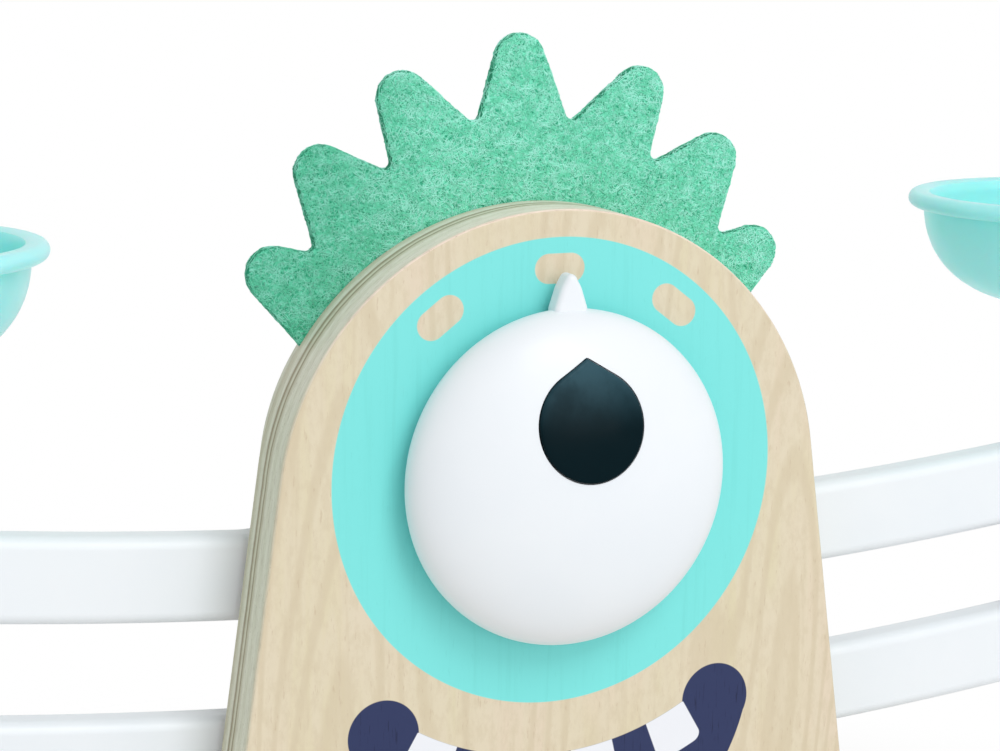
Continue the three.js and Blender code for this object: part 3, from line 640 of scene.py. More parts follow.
pupil_plastic = plastic_material("black_plastic", PUPIL_INK, PUPIL_INK, 0.2)
pupil_shader = pupil_plastic.node_tree.nodes["Principled BSDF"]
pupil_shader.inputs["Specular IOR Level"].default_value = 0.05
paint_reflection(pupil_plastic.node_tree, pupil_shader)
print("plastics:", [m.name for m in (white_plastic, nylon, mint_plastic, pupil_plastic)])

# %% [markdown]
# ## Metal and rubber
# The pins and screws are zinc plated: grey, with turning marks round their axis and cloudy plating. The
# feet are dark rubber with a fine matte skin.

# %% Metal and rubber
ZINC_BRIGHT = linear(196, 199, 203)
ZINC_DULL = linear(172, 175, 178)
RUBBER = linear(58, 60, 62)
RUBBER_DUST = linear(82, 84, 86)


def zinc_material():
    material, tree, shader = finish("zinc_plate", roughness=0.32, metallic=1.0)
    clouds = speckle(tree, place(tree, (260, 260, 260)), detail=4)
    colour = blend(tree, fade(tree, clouds, 0.3, 0.7), ZINC_BRIGHT, ZINC_DULL)
    tree.links.new(colour, shader.inputs["Base Color"])
    scratches = speckle(tree, place(tree, (900, 4200, 900)), detail=3)
    rough = fade(tree, scratches, 0.3, 0.7, 0.26, 0.42)
    tree.links.new(rough, shader.inputs["Roughness"])
    raise_surface(tree, shader, scratches, 0.15, 0.03 * MM)
    return material


def rubber_material():
    material, tree, shader = finish("foot_rubber", roughness=0.8)
    dust = speckle(tree, place(tree, (320, 320, 320)), detail=5)
    colour = blend(tree, fade(tree, dust, 0.4, 0.8), RUBBER, RUBBER_DUST)
    tree.links.new(colour, shader.inputs["Base Color"])
    skin = speckle(tree, place(tree, (2600, 2600, 2600)), detail=2)
    raise_surface(tree, shader, skin, 0.3, 0.08 * MM)
    return material


zinc = zinc_material()
rubber = rubber_material()
print("zinc:", len(zinc.node_tree.nodes), "nodes, rubber:", len(rubber.node_tree.nodes), "nodes")

# %% [markdown]
# ## Helpers for shapes
# Every shape is drawn in millimetres, and scaled to metres once, when it becomes a piece. Three helpers
# make most of them. The first draws a line whose corners are rounded: each arc is a vertex spun about
# the corner's centre. The second pushes a flat outline into a board and rounds both rims with a bevel.
# The third spins a line about an axis, as a lathe does. Cuts, such as bores, are booleans.

# %% Drawing a line with rounded corners
def arc_from(bm, vertex, centre, angle, steps):
    """Spins a vertex about a centre in the X and Z plane, and returns the vertices in order."""
    before = set(bm.verts)
    turn = {"cent": centre, "axis": (0, 1, 0), "angle": angle, "steps": steps}
    bmesh.ops.spin(bm, geom=[vertex], use_merge=False, **turn)
    return [vertex, *[v for v in bm.verts if v not in before]]


def join_up(bm, line, closed=True):
    pairs = zip(line, line[1:] + line[:1]) if closed else zip(line, line[1:])
    for pair in pairs:
        if not bm.edges.get(pair):
            bm.edges.new(pair)


def draw(bm, corners, closed=True, steps=10):
    """A line through (x, z, rounding) corners; a corner with a rounding becomes an arc."""
    line = []
    for i, (x, z, rounding) in enumerate(corners):
        here = Vector((x, 0, z))
        if not rounding:
            line.append(bm.verts.new(here))
            continue
        behind = corners[i - 1]
        ahead = corners[(i + 1) % len(corners)]
        back = (Vector((behind[0], 0, behind[1])) - here).normalized()
        on = (Vector((ahead[0], 0, ahead[1])) - here).normalized()
        half = back.angle(on) / 2
        centre = here + (back + on).normalized() * (rounding / math.sin(half))
        reach = rounding / math.tan(half)
        start, end = here + back * reach, here + on * reach
        way = math.copysign(1, (start - centre).cross(end - centre).y)
        line += arc_from(bm, bm.verts.new(start), centre, way * (math.pi - 2 * half), steps)
    join_up(bm, line, closed)
    return line


# %% Boards and turned pieces
def rims(bm, axis=1):
    """The edges where a flat face across an axis meets a side."""
    flat = {f for f in bm.faces if abs(f.normal[axis]) > 0.99}
    return [e for e in bm.edges if len({f in flat for f in e.link_faces}) == 2]


def round_edges(bm, edges, width, segments):
    ways = {"profile": 0.5, "affect": "EDGES", "material": -1}
    bmesh.ops.bevel(bm, geom=edges, offset=width, segments=segments, **ways)


def thicken(bm, back, thickness, edge=0.0, segments=3):
    """Pushes the flat face in a bmesh forward from its back, and rounds both rims."""
    grown = bmesh.ops.extrude_face_region(bm, geom=bm.faces[:], use_keep_orig=True)
    moved = [g for g in grown["geom"] if isinstance(g, bmesh.types.BMVert)]
    bmesh.ops.translate(bm, verts=moved, vec=(0, -thickness, 0))
    bmesh.ops.translate(bm, verts=bm.verts, vec=(0, back, 0))
    bmesh.ops.recalc_face_normals(bm, faces=bm.faces)
    if edge:
        round_edges(bm, rims(bm), edge, segments)
    return bm


def board(corners, back, thickness, edge=0.0, segments=3, steps=12):
    """An outline in X and Z made into a board."""
    bm = bmesh.new()
    bm.faces.new(draw(bm, corners, steps=steps))
    return thicken(bm, back, thickness, edge, segments)


def turned(profile, sides=FINE, along="z", steps=4, centre=(0, 0, 0)):
    """Spins (radius, height, rounding) corners about an axis, and places the result."""
    bm = bmesh.new()
    draw(bm, profile, closed=False, steps=steps)
    geometry = bm.verts[:] + bm.edges[:]
    bmesh.ops.spin(bm, geom=geometry, axis=(0, 0, 1), angle=math.tau, steps=sides, use_merge=True)
    bmesh.ops.remove_doubles(bm, verts=bm.verts, dist=0.001)
    bmesh.ops.dissolve_degenerate(bm, edges=bm.edges, dist=0.001)
    bmesh.ops.recalc_face_normals(bm, faces=bm.faces)
    if along == "y":
        bmesh.ops.rotate(bm, verts=bm.verts, matrix=Matrix.Rotation(-math.pi / 2, 3, "X"))
    bmesh.ops.translate(bm, verts=bm.verts, vec=centre)
    return bm


def rod(radius, start, end, sides=COARSE, centre=(0, 0, 0)):
    """A plain round bar along Y."""
    profile = [(0, start, 0), (radius, start, 0), (radius, end, 0), (0, end, 0)]
    return turned(profile, sides, "y", centre=centre)


def block(size, centre):
    bm = bmesh.new()
    bmesh.ops.create_cube(bm, size=1)
    bmesh.ops.scale(bm, verts=bm.verts, vec=size)
    bmesh.ops.translate(bm, verts=bm.verts, vec=centre)
    return bm


# %% Cutting and joining
def temporary(bm):
    mesh = bpy.data.meshes.new("temporary")
    bm.to_mesh(mesh)
    bm.free()
    obj = bpy.data.objects.new("temporary", mesh)
    bpy.context.scene.collection.objects.link(obj)
    return obj


def evaluated(obj):
    """The object's shape with its modifiers applied, as a new bmesh; the object is removed."""
    bm = bmesh.new()
    bm.from_object(obj, bpy.context.evaluated_depsgraph_get())
    mesh = obj.data
    bpy.data.objects.remove(obj)
    bpy.data.meshes.remove(mesh)
    return bm


def combine(base, tools, operation="DIFFERENCE"):
    """Cuts tools out of a base, or joins them to it, one after another."""
    for tool in tools:
        body, other = temporary(base), temporary(tool)
        step = body.modifiers.new("combine", "BOOLEAN")
        step.operation = operation
        step.solver = "EXACT"
        step.object = other
        base = evaluated(body)
        mesh = other.data
        bpy.data.objects.remove(other)
        bpy.data.meshes.remove(mesh)
    return base


def ease(bm, width, segments=2, angle=35):
    """Rounds every sharp edge a little, as on a sanded or moulded piece."""
    obj = temporary(bm)
    step = obj.modifiers.new("ease", "BEVEL")
    step.width = width
    step.segments = segments
    step.limit_method = "ANGLE"
    step.angle_limit = math.radians(angle)
    return evaluated(obj)


# %% Turning a shape into a piece
def piece(bm, name, body, materials, replaces=(), by_face=None):
    """Scales a shape to metres, and makes it a piece that stands for CAD nodes and rides on a body."""
    bmesh.ops.remove_doubles(bm, verts=bm.verts, dist=0.002)
    bmesh.ops.holes_fill(bm, edges=[e for e in bm.edges if len(e.link_faces) == 1], sides=4)
    open_edges = [e for e in bm.edges if len(e.link_faces) != 2]
    bmesh.ops.scale(bm, verts=bm.verts, vec=(MM, MM, MM))
    for face in bm.faces:
        face.smooth = True
        face.material_index = by_face(face) if by_face else 0
    for edge in bm.edges:
        edge.smooth = len(edge.link_faces) != 2 or edge.calc_face_angle(0) < SMOOTH_ANGLE
    mesh = bpy.data.meshes.new(name)
    bm.to_mesh(mesh)
    bm.free()
    obj = bpy.data.objects.new(name, mesh)
    bpy.context.scene.collection.objects.link(obj)
    for material in materials:
        mesh.materials.append(material)
    flat_first = obj.modifiers.new("flat_faces_first", "WEIGHTED_NORMAL")
    flat_first.keep_sharp = True
    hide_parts(*replaces)
    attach(obj, body)
    print(f"{name}: {len(mesh.polygons)} faces, {len(open_edges)} open edges")
    return obj


# %% [markdown]
# ## Base plate and feet
# The base is 12 mm plywood with large round corners. A cube whose upright edges and then rims are
# bevelled gives its shape. Top and bottom show veneer, and the rest shows plies, so faces get their
# material by the way that they look. The feet are rubber buttons, spun from a small profile.

# %% Base plate
BASE_CORNER = 40
BASE_EDGE = 2.5
FIT = 0.3
SCREW_RADIUS = 1.6
SCREW_HEAD_RADIUS = 3.6
SCREW_HEAD_DEPTH = 2.2
base_low, base_high = box_mm("base_plate")


def lying_or_edge(face):
    return 0 if abs(face.normal.z) > 0.9 else 1


def screw_hole(low, high, along, head_low):
    """The room that a countersunk screw needs, from the box of the screw."""
    middle = (low + high) / 2
    shank, head = SCREW_RADIUS + FIT, SCREW_HEAD_RADIUS + FIT
    axis = 2 if along == "z" else 1
    bottom, top = low[axis], high[axis]
    if head_low:
        cone = bottom + SCREW_HEAD_DEPTH
        profile = [(0, bottom - 1), (head, bottom - 1), (head, bottom), (shank, cone), (shank, top), (0, top)]
    else:
        cone = top - SCREW_HEAD_DEPTH
        profile = [(0, bottom), (shank, bottom), (shank, cone), (head, top), (head, top + 1), (0, top + 1)]
    middle[axis] = 0
    return turned([(r, h, 0) for r, h in profile], COARSE, along, centre=middle)


BASE_SCREWS = [f"base_screw_{name}" for name in ("front_left", "front_right", "middle_left", "middle_right")]
plate = block(base_high - base_low, (base_high + base_low) / 2)
upright = [e for e in plate.edges if abs((e.verts[0].co - e.verts[1].co).z) > 1]
round_edges(plate, upright, BASE_CORNER, 28)
round_edges(plate, rims(plate, axis=2), BASE_EDGE, 4)
plate = combine(plate, [screw_hole(*box_mm(name), "z", True) for name in BASE_SCREWS])
piece(plate, "base_board", "frame", [base_veneer, base_edge], ["base_plate"], lying_or_edge)

# %% Feet
DIMPLE_FLOOR = 2.8
DIMPLE_RADIUS = 3.6
DIMPLE_DEPTH = 0.6
FOOT_ROUND = 0.9

for name in ("foot_front_left", "foot_front_right", "foot_rear_left", "foot_rear_right"):
    low, high = box_mm(name)
    radius, middle = (high.x - low.x) / 2, (low + high) / 2
    dimple = [(0, DIMPLE_DEPTH, 0), (DIMPLE_FLOOR, DIMPLE_DEPTH, 0.3), (DIMPLE_RADIUS, 0, 0.3)]
    rim = [(radius, 0, FOOT_ROUND), (radius, high.z, 0), (0, high.z, 0)]
    shape = turned(dimple + rim, centre=(middle.x, middle.y, 0))
    piece(shape, f"{name}_pad", "frame", [rubber], [name])

# %% [markdown]
# ## The two boards
# Each board is an arch that stands on a slightly wider foot. The line starts at the left side's top, runs
# down and round both foot corners and up to the right side's top, and one long spin about the arch's
# centre closes it. The rear board is the same shape, drawn inwards. Faces that look forward or back take
# veneer, and the sides take the plies.

# %% Board shapes
REAR_INSET = 8.6
FOOT_CORNER = 4
ARCH_MM = ARCH_RADIUS / MM
ARCH_UP = ARCH_Z / MM
HALF_MM = BODY_HALF / MM
FOOT_UP = BASE_TOP / MM
AXLE_UP = AXLE_Z / MM
LOWER_UP = LOWER_Z / MM


def arch_board(inset, back, thickness):
    radius = ARCH_MM - inset
    foot = Vector((HALF_MM, FOOT_UP - ARCH_UP))
    lean = math.atan2(-foot.y, -foot.x) - math.asin(ARCH_MM / foot.length) - math.pi / 2
    half = HALF_MM - inset / math.cos(lean)
    top_x, top_z = radius * math.cos(lean), ARCH_UP + radius * math.sin(lean)
    bm = bmesh.new()
    feet = [(-half, FOOT_UP, FOOT_CORNER), (half, FOOT_UP, FOOT_CORNER)]
    line = draw(bm, [(-top_x, top_z, 0), *feet, (top_x, top_z, 0)], closed=False)
    arch = arc_from(bm, line[-1], (0, 0, ARCH_UP), -(math.pi - 2 * lean), 160)
    bmesh.ops.pointmerge(bm, verts=[arch[-1], line[0]], merge_co=line[0].co)
    bmesh.ops.contextual_create(bm, geom=bm.edges)
    return thicken(bm, back, thickness, BOARD_EDGE / MM, 3)


def facing(face):
    """0 for the front, 1 for the back, 2 for the edge."""
    if face.normal.y < -0.9:
        return 0
    return 1 if face.normal.y > 0.9 else 2


# %% Front board, with its holes
SCREW_PLACES = ("upper_left", "top", "upper_right", "lower_left", "lower_right")
REAR_SCREWS = [f"rear_screw_{name}" for name in SCREW_PLACES]
AXLE_RADIUS = 3
BUSH_RADIUS = 5.5
PEGS = ("stop_peg_left", "stop_peg_right")
front_mm, inner_mm = FRONT_Y / MM, FRONT_BACK_Y / MM
rear_inner_mm, rear_mm = REAR_Y / MM, REAR_BACK_Y / MM


def peg_hole(name):
    low, high = box_mm(name)
    middle = (low + high) / 2
    return rod((high.x - low.x) / 2 + FIT, low.y - FIT, high.y + FIT, centre=(middle.x, 0, middle.z))


def rear_screw_holes(names):
    return [screw_hole(*box_mm(name), "y", False) for name in names]


def shared_holes():
    return rear_screw_holes(REAR_SCREWS) + [peg_hole(name) for name in PEGS]


front_holes = [
    rod(BUSH_RADIUS + FIT, front_mm - 1, inner_mm + 1, centre=(0, 0, AXLE_UP)),
    rod(AXLE_RADIUS + FIT, box_mm("lower_pivot_pin")[0].y - FIT, inner_mm + 1, centre=(0, 0, LOWER_UP)),
]
front = arch_board(0, inner_mm, inner_mm - front_mm)
front = combine(front, front_holes + shared_holes())
piece(front, "front_board", "frame", [printed_veneer, veneer, front_edge], ["front_panel"], facing)

# %% Rear board
rear_holes = [
    rod(BUSH_RADIUS + FIT, rear_inner_mm - 1, rear_mm + 1, centre=(0, 0, AXLE_UP)),
    rod(AXLE_RADIUS + FIT, rear_inner_mm - 1, rear_mm + 1, centre=(0, 0, LOWER_UP)),
]
rear = arch_board(REAR_INSET, rear_mm, rear_mm - rear_inner_mm)
rear = combine(rear, rear_holes + shared_holes())
piece(rear, "rear_board", "frame", [veneer, veneer, rear_edge], ["rear_panel"], facing)

# %% [markdown]
# ## Blocks and pegs between the boards
# Two beech blocks hold the boards apart: a straight one on the base, and a curved one that clamps the
# felt at the top. Two pegs stop the upper beam at the ends of its tilt.

# %% Lower block and pegs
BLOCK_EDGE = 0.5
PEG_ROUND = 0.6
low, high = box_mm("lower_spacer")
lower_block = block(high - low, (low + high) / 2)
block_holes = rear_screw_holes(REAR_SCREWS[3:])
block_holes += [screw_hole(*box_mm(name), "z", True) for name in BASE_SCREWS[2:]]
lower_block = combine(ease(lower_block, BLOCK_EDGE), block_holes)
piece(lower_block, "lower_block", "frame", [beech], ["lower_spacer"])
for name in PEGS:
    low, high = box_mm(name)
    radius, middle = (high.x - low.x) / 2, (low + high) / 2
    ends = [(0, low.y, 0), (radius, low.y, PEG_ROUND), (radius, high.y, PEG_ROUND), (0, high.y, 0)]
    shape = turned(ends, COARSE, "y", centre=(middle.x, 0, middle.z))
    piece(shape, f"{name}_dowel", "frame", [beech_peg], [name])

# %% Upper block, an arc
UPPER_OUTER = 58
UPPER_INNER = 43
UPPER_SPAN = math.radians(41)
low, high = box_mm("upper_spacer")
arc = bmesh.new()
lines = []
for radius in (UPPER_OUTER, UPPER_INNER):
    across, up = -radius * math.sin(UPPER_SPAN), radius * math.cos(UPPER_SPAN)
    start = arc.verts.new((across, 0, ARCH_UP + up))
    lines.append(arc_from(arc, start, (0, 0, ARCH_UP), 2 * UPPER_SPAN, 40))
outer_line, inner_line = lines
arc.edges.new((outer_line[0], inner_line[0]))
arc.edges.new((outer_line[-1], inner_line[-1]))
bmesh.ops.contextual_create(arc, geom=arc.edges)
upper_block = thicken(arc, high.y, high.y - low.y, BLOCK_EDGE, 2)
upper_block = combine(upper_block, rear_screw_holes(REAR_SCREWS[:3]))
piece(upper_block, "upper_block", "frame", [beech], ["upper_spacer"])

# %% [markdown]
# ## The felt crest
# The crest is cut from 3 mm felt, with seven soft points. Its outline is drawn corner by corner about the
# arch's centre. A voxel remesh then turns the flat cut-out into an even skin, so that noise can push the
# surface in and out as pressed wool does, with slightly rounded cut edges.

# %% Crest outline
CREST_SHIFT = -1.9
CREST_HEIGHT = 54.4
CREST_DEPTH = 32
TIP_RADIUS = 6.5
VALLEY_RADIUS = 1.8
TIPS = ((-0.95, 1), (20.3, 0.932), (34.3, 0.72), (51, 0.629))
VALLEYS = ((7.8, 0.344), (23.1, 0.256), (41.4, 0.162))
HEEL = ((56.6, -3.2), (50, -9))
INNER_ANGLE = 45


def about_arch(angle, rise, rounding=0):
    """A corner at an angle from straight up and a rise above the arch."""
    reach = ARCH_MM + rise
    turn = math.radians(angle)
    return reach * math.sin(turn), ARCH_UP + reach * math.cos(turn), rounding


def crest_corners():
    right = []
    for (angle, share), (next_angle, next_share) in zip(VALLEYS, TIPS[1:]):
        right.append(about_arch(angle, CREST_HEIGHT * share, VALLEY_RADIUS))
        right.append(about_arch(next_angle, CREST_HEIGHT * next_share, TIP_RADIUS))
    right += [about_arch(angle, rise) for angle, rise in HEEL]
    right += [about_arch(INNER_ANGLE * (1 - k / 10), -CREST_DEPTH) for k in range(10)]
    left = [(-x, z, rounding) for x, z, rounding in reversed(right)]
    top = about_arch(TIPS[0][0], CREST_HEIGHT, TIP_RADIUS)
    bottom = about_arch(0, -CREST_DEPTH)
    return [top, *right, bottom, *left]


# %% Felt surface
FELT_VOXEL = 0.6
FELT_EDGE = 0.35
LUMP_HEIGHT = 0.09
FUZZ_HEIGHT = 0.07
felt_low, felt_high = box_mm("felt_crest")


def felted(bm):
    """Remeshes a cut-out evenly, and gives it the shallow lumps of pressed wool."""
    obj = temporary(bm)
    step = obj.modifiers.new("skin", "REMESH")
    step.mode = "VOXEL"
    step.voxel_size = FELT_VOXEL
    bm = evaluated(obj)
    bmesh.ops.smooth_vert(bm, verts=bm.verts, factor=0.5, use_axis_x=True, use_axis_y=True, use_axis_z=True)
    bm.normal_update()
    for vertex in bm.verts:
        lump = noise.fractal(vertex.co * 0.35, 1.0, 2.0, 3)
        fuzz = noise.noise(vertex.co * 1.3)
        vertex.co += vertex.normal * (LUMP_HEIGHT * lump + FUZZ_HEIGHT * fuzz)
    return bm


crest = board(crest_corners(), felt_high.y, felt_high.y - felt_low.y, FELT_EDGE, 2, steps=10)
bmesh.ops.translate(crest, verts=crest.verts, vec=(CREST_SHIFT, 0, 0))
crest = combine(crest, rear_screw_holes(REAR_SCREWS[:3]))
crest = felted(crest)
felt_surface = BVHTree.FromBMesh(crest)
showing = [f.calc_center_median() for f in crest.faces if f.normal.y < 0.2]
showing = [spot for spot in showing if math.hypot(spot.x, spot.z - ARCH_UP) > ARCH_MM - 1]
crest_area = sum(face.calc_area() for face in crest.faces if face.normal.y < -0.5)


def face_or_cut(face):
    return 1 if abs(face.normal.y) < 0.6 else 0


crest_piece = piece(crest, "felt_points", "frame", [felt, cut_felt], ["felt_crest"], face_or_cut)
print("felt:", len(showing), "faces show,", round(crest_area), "square mm")

# %% [markdown]
# ## Loose wool
# Close up, felt is single fibres. Each one here is a thin tube along a short wandering path. It starts at
# a random place on the felt and sets off any way. It turns a little at every step, and is drawn back to
# the surface each time. One curve object holds all the paths, and its bevel gives them thickness. A seed
# gives the same fibres at every run.

# %% Fibres
FIBRE_COUNT = 3400
FIBRE_STEPS = 5
FIBRE_STEP = 0.9
FIBRE_RADIUS = 0.065
FIBRE_LIFT = 0.16
FIBRE_BEND = 0.5
FIBRE_WOBBLE = 0.35
FIBRE_SEED = 11


def wander(start, rng):
    """The places along one fibre."""
    spot, normal = felt_surface.find_nearest(start)[:2]
    slope = rng.uniform(-math.pi, math.pi)
    way = Vector((math.cos(slope), 0, math.sin(slope)))
    turn = rng.gauss(0, FIBRE_BEND)
    places = []
    for _ in range(FIBRE_STEPS + 1):
        places.append(spot + normal * FIBRE_LIFT * rng.random())
        way = (way - normal * way.dot(normal)).normalized()
        way.rotate(Quaternion(normal, turn + rng.gauss(0, FIBRE_WOBBLE)))
        spot, normal = felt_surface.find_nearest(spot + way * FIBRE_STEP)[:2]
    return places


def tubes(paths, radius):
    """One mesh of four-sided tubes along the paths."""
    curve = bpy.data.curves.new("paths", "CURVE")
    curve.dimensions = "3D"
    curve.bevel_depth = radius
    curve.bevel_resolution = 0
    curve.use_fill_caps = True
    for path in paths:
        spline = curve.splines.new("POLY")
        spline.points.add(len(path) - 1)
        for point, spot in zip(spline.points, path):
            point.co = (*spot, 1)
    obj = bpy.data.objects.new("paths", curve)
    bpy.context.scene.collection.objects.link(obj)
    mesh = bpy.data.meshes.new_from_object(obj.evaluated_get(bpy.context.evaluated_depsgraph_get()))
    bm = bmesh.new()
    bm.from_mesh(mesh)
    bpy.data.objects.remove(obj)
    bpy.data.curves.remove(curve)
    bpy.data.meshes.remove(mesh)
    bmesh.ops.remove_doubles(bm, verts=bm.verts, dist=0.002)
    bmesh.ops.recalc_face_normals(bm, faces=bm.faces)
    return bm


chance = random.Random(FIBRE_SEED)
fibres = tubes([wander(chance.choice(showing), chance) for _ in range(FIBRE_COUNT)], FIBRE_RADIUS)
fibre_piece = piece(fibres, "felt_fibres", "frame", [wool_fibre])

# %% [markdown]
# ## Turned small parts
# Bushes, pins and caps are all round, so each is a short profile for the lathe helper. Roundings of a few
# tenths of a millimetre catch a thin line of light, as on real turned and moulded parts.

# %% Bushes
BUSH_FLANGE_RADIUS = 8
BORE = AXLE_RADIUS + FIT


def on_pivot(profile, up=AXLE_UP):
    """Turns a profile about the upper pivot's axis, or about the lower one's."""
    return turned(profile, along="y", centre=(0, 0, up))


def bush(start, end, flange_start, flange_end):
    """A sleeve with a flange, bored through; the flange may be at either end."""
    low, high = min(start, flange_start), max(end, flange_end)
    front_flange = flange_start < start
    foot_radius = BUSH_FLANGE_RADIUS if front_flange else BUSH_RADIUS
    head_radius = BUSH_RADIUS if front_flange else BUSH_FLANGE_RADIUS
    step = flange_end if front_flange else flange_start
    profile = [(BORE, low, 0), (foot_radius, low, 0.3), (foot_radius, step, 0)]
    profile += [(head_radius, step, 0), (head_radius, high, 0.3), (BORE, high, 0), (BORE, low, 0)]
    return on_pivot(profile)


flange_front, flange_rear = box_mm("axle_bush_front")[0].y, box_mm("axle_bush_rear")[1].y
shape = bush(front_mm, inner_mm, flange_front, front_mm)
piece(shape, "front_bush", "frame", [nylon], ["axle_bush_front"])
shape = bush(rear_inner_mm, rear_mm, rear_mm, flange_rear)
piece(shape, "rear_bush", "frame", [nylon], ["axle_bush_rear"])

# %% Lower pivot pin, axle and axle cap
AXLE_CHAMFER = 0.4
PIN_HEAD_ROUND = 1.2
CAP_FLOOR = 1.5
CAP_ROUND = 1.8
low, high = box_mm("lower_pivot_pin")
head = (high.x - low.x) / 2
profile = [(0, low.y, 0), (AXLE_RADIUS, low.y, AXLE_CHAMFER), (AXLE_RADIUS, rear_mm, 0), (head, rear_mm, 0)]
profile += [(head, high.y, PIN_HEAD_ROUND), (0, high.y, 0)]
shape = on_pivot(profile, LOWER_UP)
piece(shape, "lower_pivot", "frame", [zinc], ["lower_pivot_pin"])

low, high = box_mm("eye_axle")
profile = [(AXLE_RADIUS, low.y, AXLE_CHAMFER), (AXLE_RADIUS, high.y, AXLE_CHAMFER)]
shape = on_pivot([(0, low.y, 0), *profile, (0, high.y, 0)])
piece(shape, "axle_rod", "upper_beam", [zinc], ["eye_axle"])

low, high = box_mm("axle_cap")
radius, floor = (high.x - low.x) / 2, high.y - CAP_FLOOR
profile = [(0, floor, 0), (BORE, floor, 0), (BORE, low.y, 0)]
profile += [(radius, low.y, 0.3), (radius, high.y, CAP_ROUND), (0, high.y, 0)]
shape = on_pivot(profile)
piece(shape, "axle_end_cap", "upper_beam", [white_plastic], ["axle_cap"])

# %% [markdown]
# ## Screws
# Countersunk wood screws, with the heads in the rear board and under the base. The head, the shank and
# the point are one turned shape; the thread is a fine spiral ridge that lies inside the wood, so it is
# left out, and the cross recess is cut by two small blocks.

# %% Screws
RECESS_LENGTH = 4
RECESS_WIDTH = 0.9
RECESS_HEIGHT = 2.4
SCREW_POINT = 3
SCREW_SINK = 0.2


def screw(low, high, along):
    """A screw along Y with its head behind, or along Z with its head below."""
    axis = 1 if along == "y" else 2
    length = high[axis] - low[axis]
    profile = [(0, -length, 0), (SCREW_RADIUS, SCREW_POINT - length, 0), (SCREW_RADIUS, -SCREW_HEAD_DEPTH, 0)]
    profile += [(SCREW_HEAD_RADIUS, -SCREW_SINK, 0.1), (SCREW_HEAD_RADIUS - 0.2, 0, 0.3), (0, 0, 0)]
    bars = (RECESS_LENGTH, RECESS_WIDTH), (RECESS_WIDTH, RECESS_LENGTH)
    bars = [block((*bar, RECESS_HEIGHT), (0, 0, 0)) for bar in bars]
    bm = combine(turned(profile, COARSE), bars)
    turn = -math.pi / 2 if along == "y" else math.pi
    bmesh.ops.rotate(bm, verts=bm.verts, matrix=Matrix.Rotation(turn, 3, "X"))
    seat = (low + high) / 2
    seat[axis] = high[axis] if along == "y" else low[axis]
    bmesh.ops.translate(bm, verts=bm.verts, vec=seat)
    return bm


for name in REAR_SCREWS:
    piece(screw(*box_mm(name), "y"), f"{name}_zinc", "frame", [zinc], [name])
for name in BASE_SCREWS:
    piece(screw(*box_mm(name), "z"), f"{name}_zinc", "frame", [zinc], [name])

# %% [markdown]
# ## The eye
# The eye is a shallow dome, a quarter ellipse spun about the axle, with a rim that curls back towards the
# board. Its wall has an even thickness, so the same curve is drawn again, smaller, for the inside. The
# pointer is a rounded fin on the rim. The pupil lies in a pocket with a hair's gap all round.

# %% Eye sizes
dome_low, dome_high = box_mm("eye_dome")
EYE_RADIUS = dome_high.x
EYE_BACK = dome_high.y
EYE_RIM = 3.6
EYE_WIDEST = EYE_BACK - EYE_RIM
EYE_BULGE = EYE_WIDEST - dome_low.y
EYE_LIP = 38.1
EYE_WALL = 3.2
POINTER_TIP = dome_high.z - AXLE_UP


def dome_line(offset, steps=28):
    """The dome's curve as (radius, y) from its middle to its back rim, grown by an offset."""
    curve = []
    for k in range(steps + 1):
        angle = math.pi / 2 * (1 - k / steps)
        radius = (EYE_RADIUS + offset) * math.cos(angle)
        curve.append((radius, EYE_WIDEST - (EYE_BULGE + offset) * math.sin(angle)))
    for k in range(1, 9):
        angle = math.pi / 2 * k / 8
        drop = (EYE_RADIUS - EYE_LIP) * (1 - math.cos(angle))
        curve.append((EYE_RADIUS + offset - drop, EYE_WIDEST + EYE_RIM * math.sin(angle)))
    return curve


def dome_solid(offset, back=None):
    """The dome filled up to its back, or further."""
    line = [(r, y, 0) for r, y in dome_line(offset)]
    if back:
        line.append((line[-1][0], back, 0))
    line.append((0, line[-1][1], 0))
    line[0] = (0, line[0][1], 0)
    return turned(line, 128, "y", centre=(0, 0, AXLE_UP))


# %% The drop outline of the pupil
PUPIL_RADIUS = 13.15
PUPIL_RISE = 15.2
PUPIL_POINT = 15.4
PUPIL_POINT_ROUND = 0.8


def drop_line(grow=0.0, steps=64):
    """A round drop with a blunt point up, as (x, z) about its round part's centre."""
    radius = PUPIL_RADIUS + grow
    point = PUPIL_POINT * radius / PUPIL_RADIUS
    touch = math.acos(radius / point)
    small = PUPIL_POINT_ROUND
    small_up = point - small / math.cos(touch)
    right = []
    for k in range(7):
        angle = touch * k / 6
        right.append(Vector((small * math.sin(angle), small_up + small * math.cos(angle))))
    start = right[-1]
    end = Vector((math.sin(touch), math.cos(touch))) * radius
    right += [start.lerp(end, k / 6) for k in range(1, 6)]
    for k in range(steps + 1):
        angle = touch + (math.pi - touch) * k / steps
        right.append(Vector((math.sin(angle), math.cos(angle))) * radius)
    left = [Vector((-p.x, p.y)) for p in reversed(right[1:-1])]
    return right + left


# %% Dome with its pocket
PUPIL_SUNK = 1.1


def drop_prism(grow):
    corners = [(p.x, p.y + AXLE_UP + PUPIL_RISE, 0) for p in drop_line(grow)]
    return board(corners, EYE_WIDEST, 2 * EYE_BULGE)


shell_outside = dome_line(0)
shell_inside = dome_line(-EYE_WALL)
shell_line = [(r, y, 0) for r, y in shell_outside] + [(r, y, 0) for r, y in reversed(shell_inside)]
shell_line[0] = (0, shell_line[0][1], 0)
shell_line[-1] = (0, shell_line[-1][1], 0)
shell = turned(shell_line, 144, "y", centre=(0, 0, AXLE_UP))
pocket = combine(drop_prism(FIT), [dome_solid(-PUPIL_SUNK - FIT)])
shell = combine(shell, [pocket])
piece(shell, "eye_shell", "upper_beam", [white_plastic], ["eye_dome"])

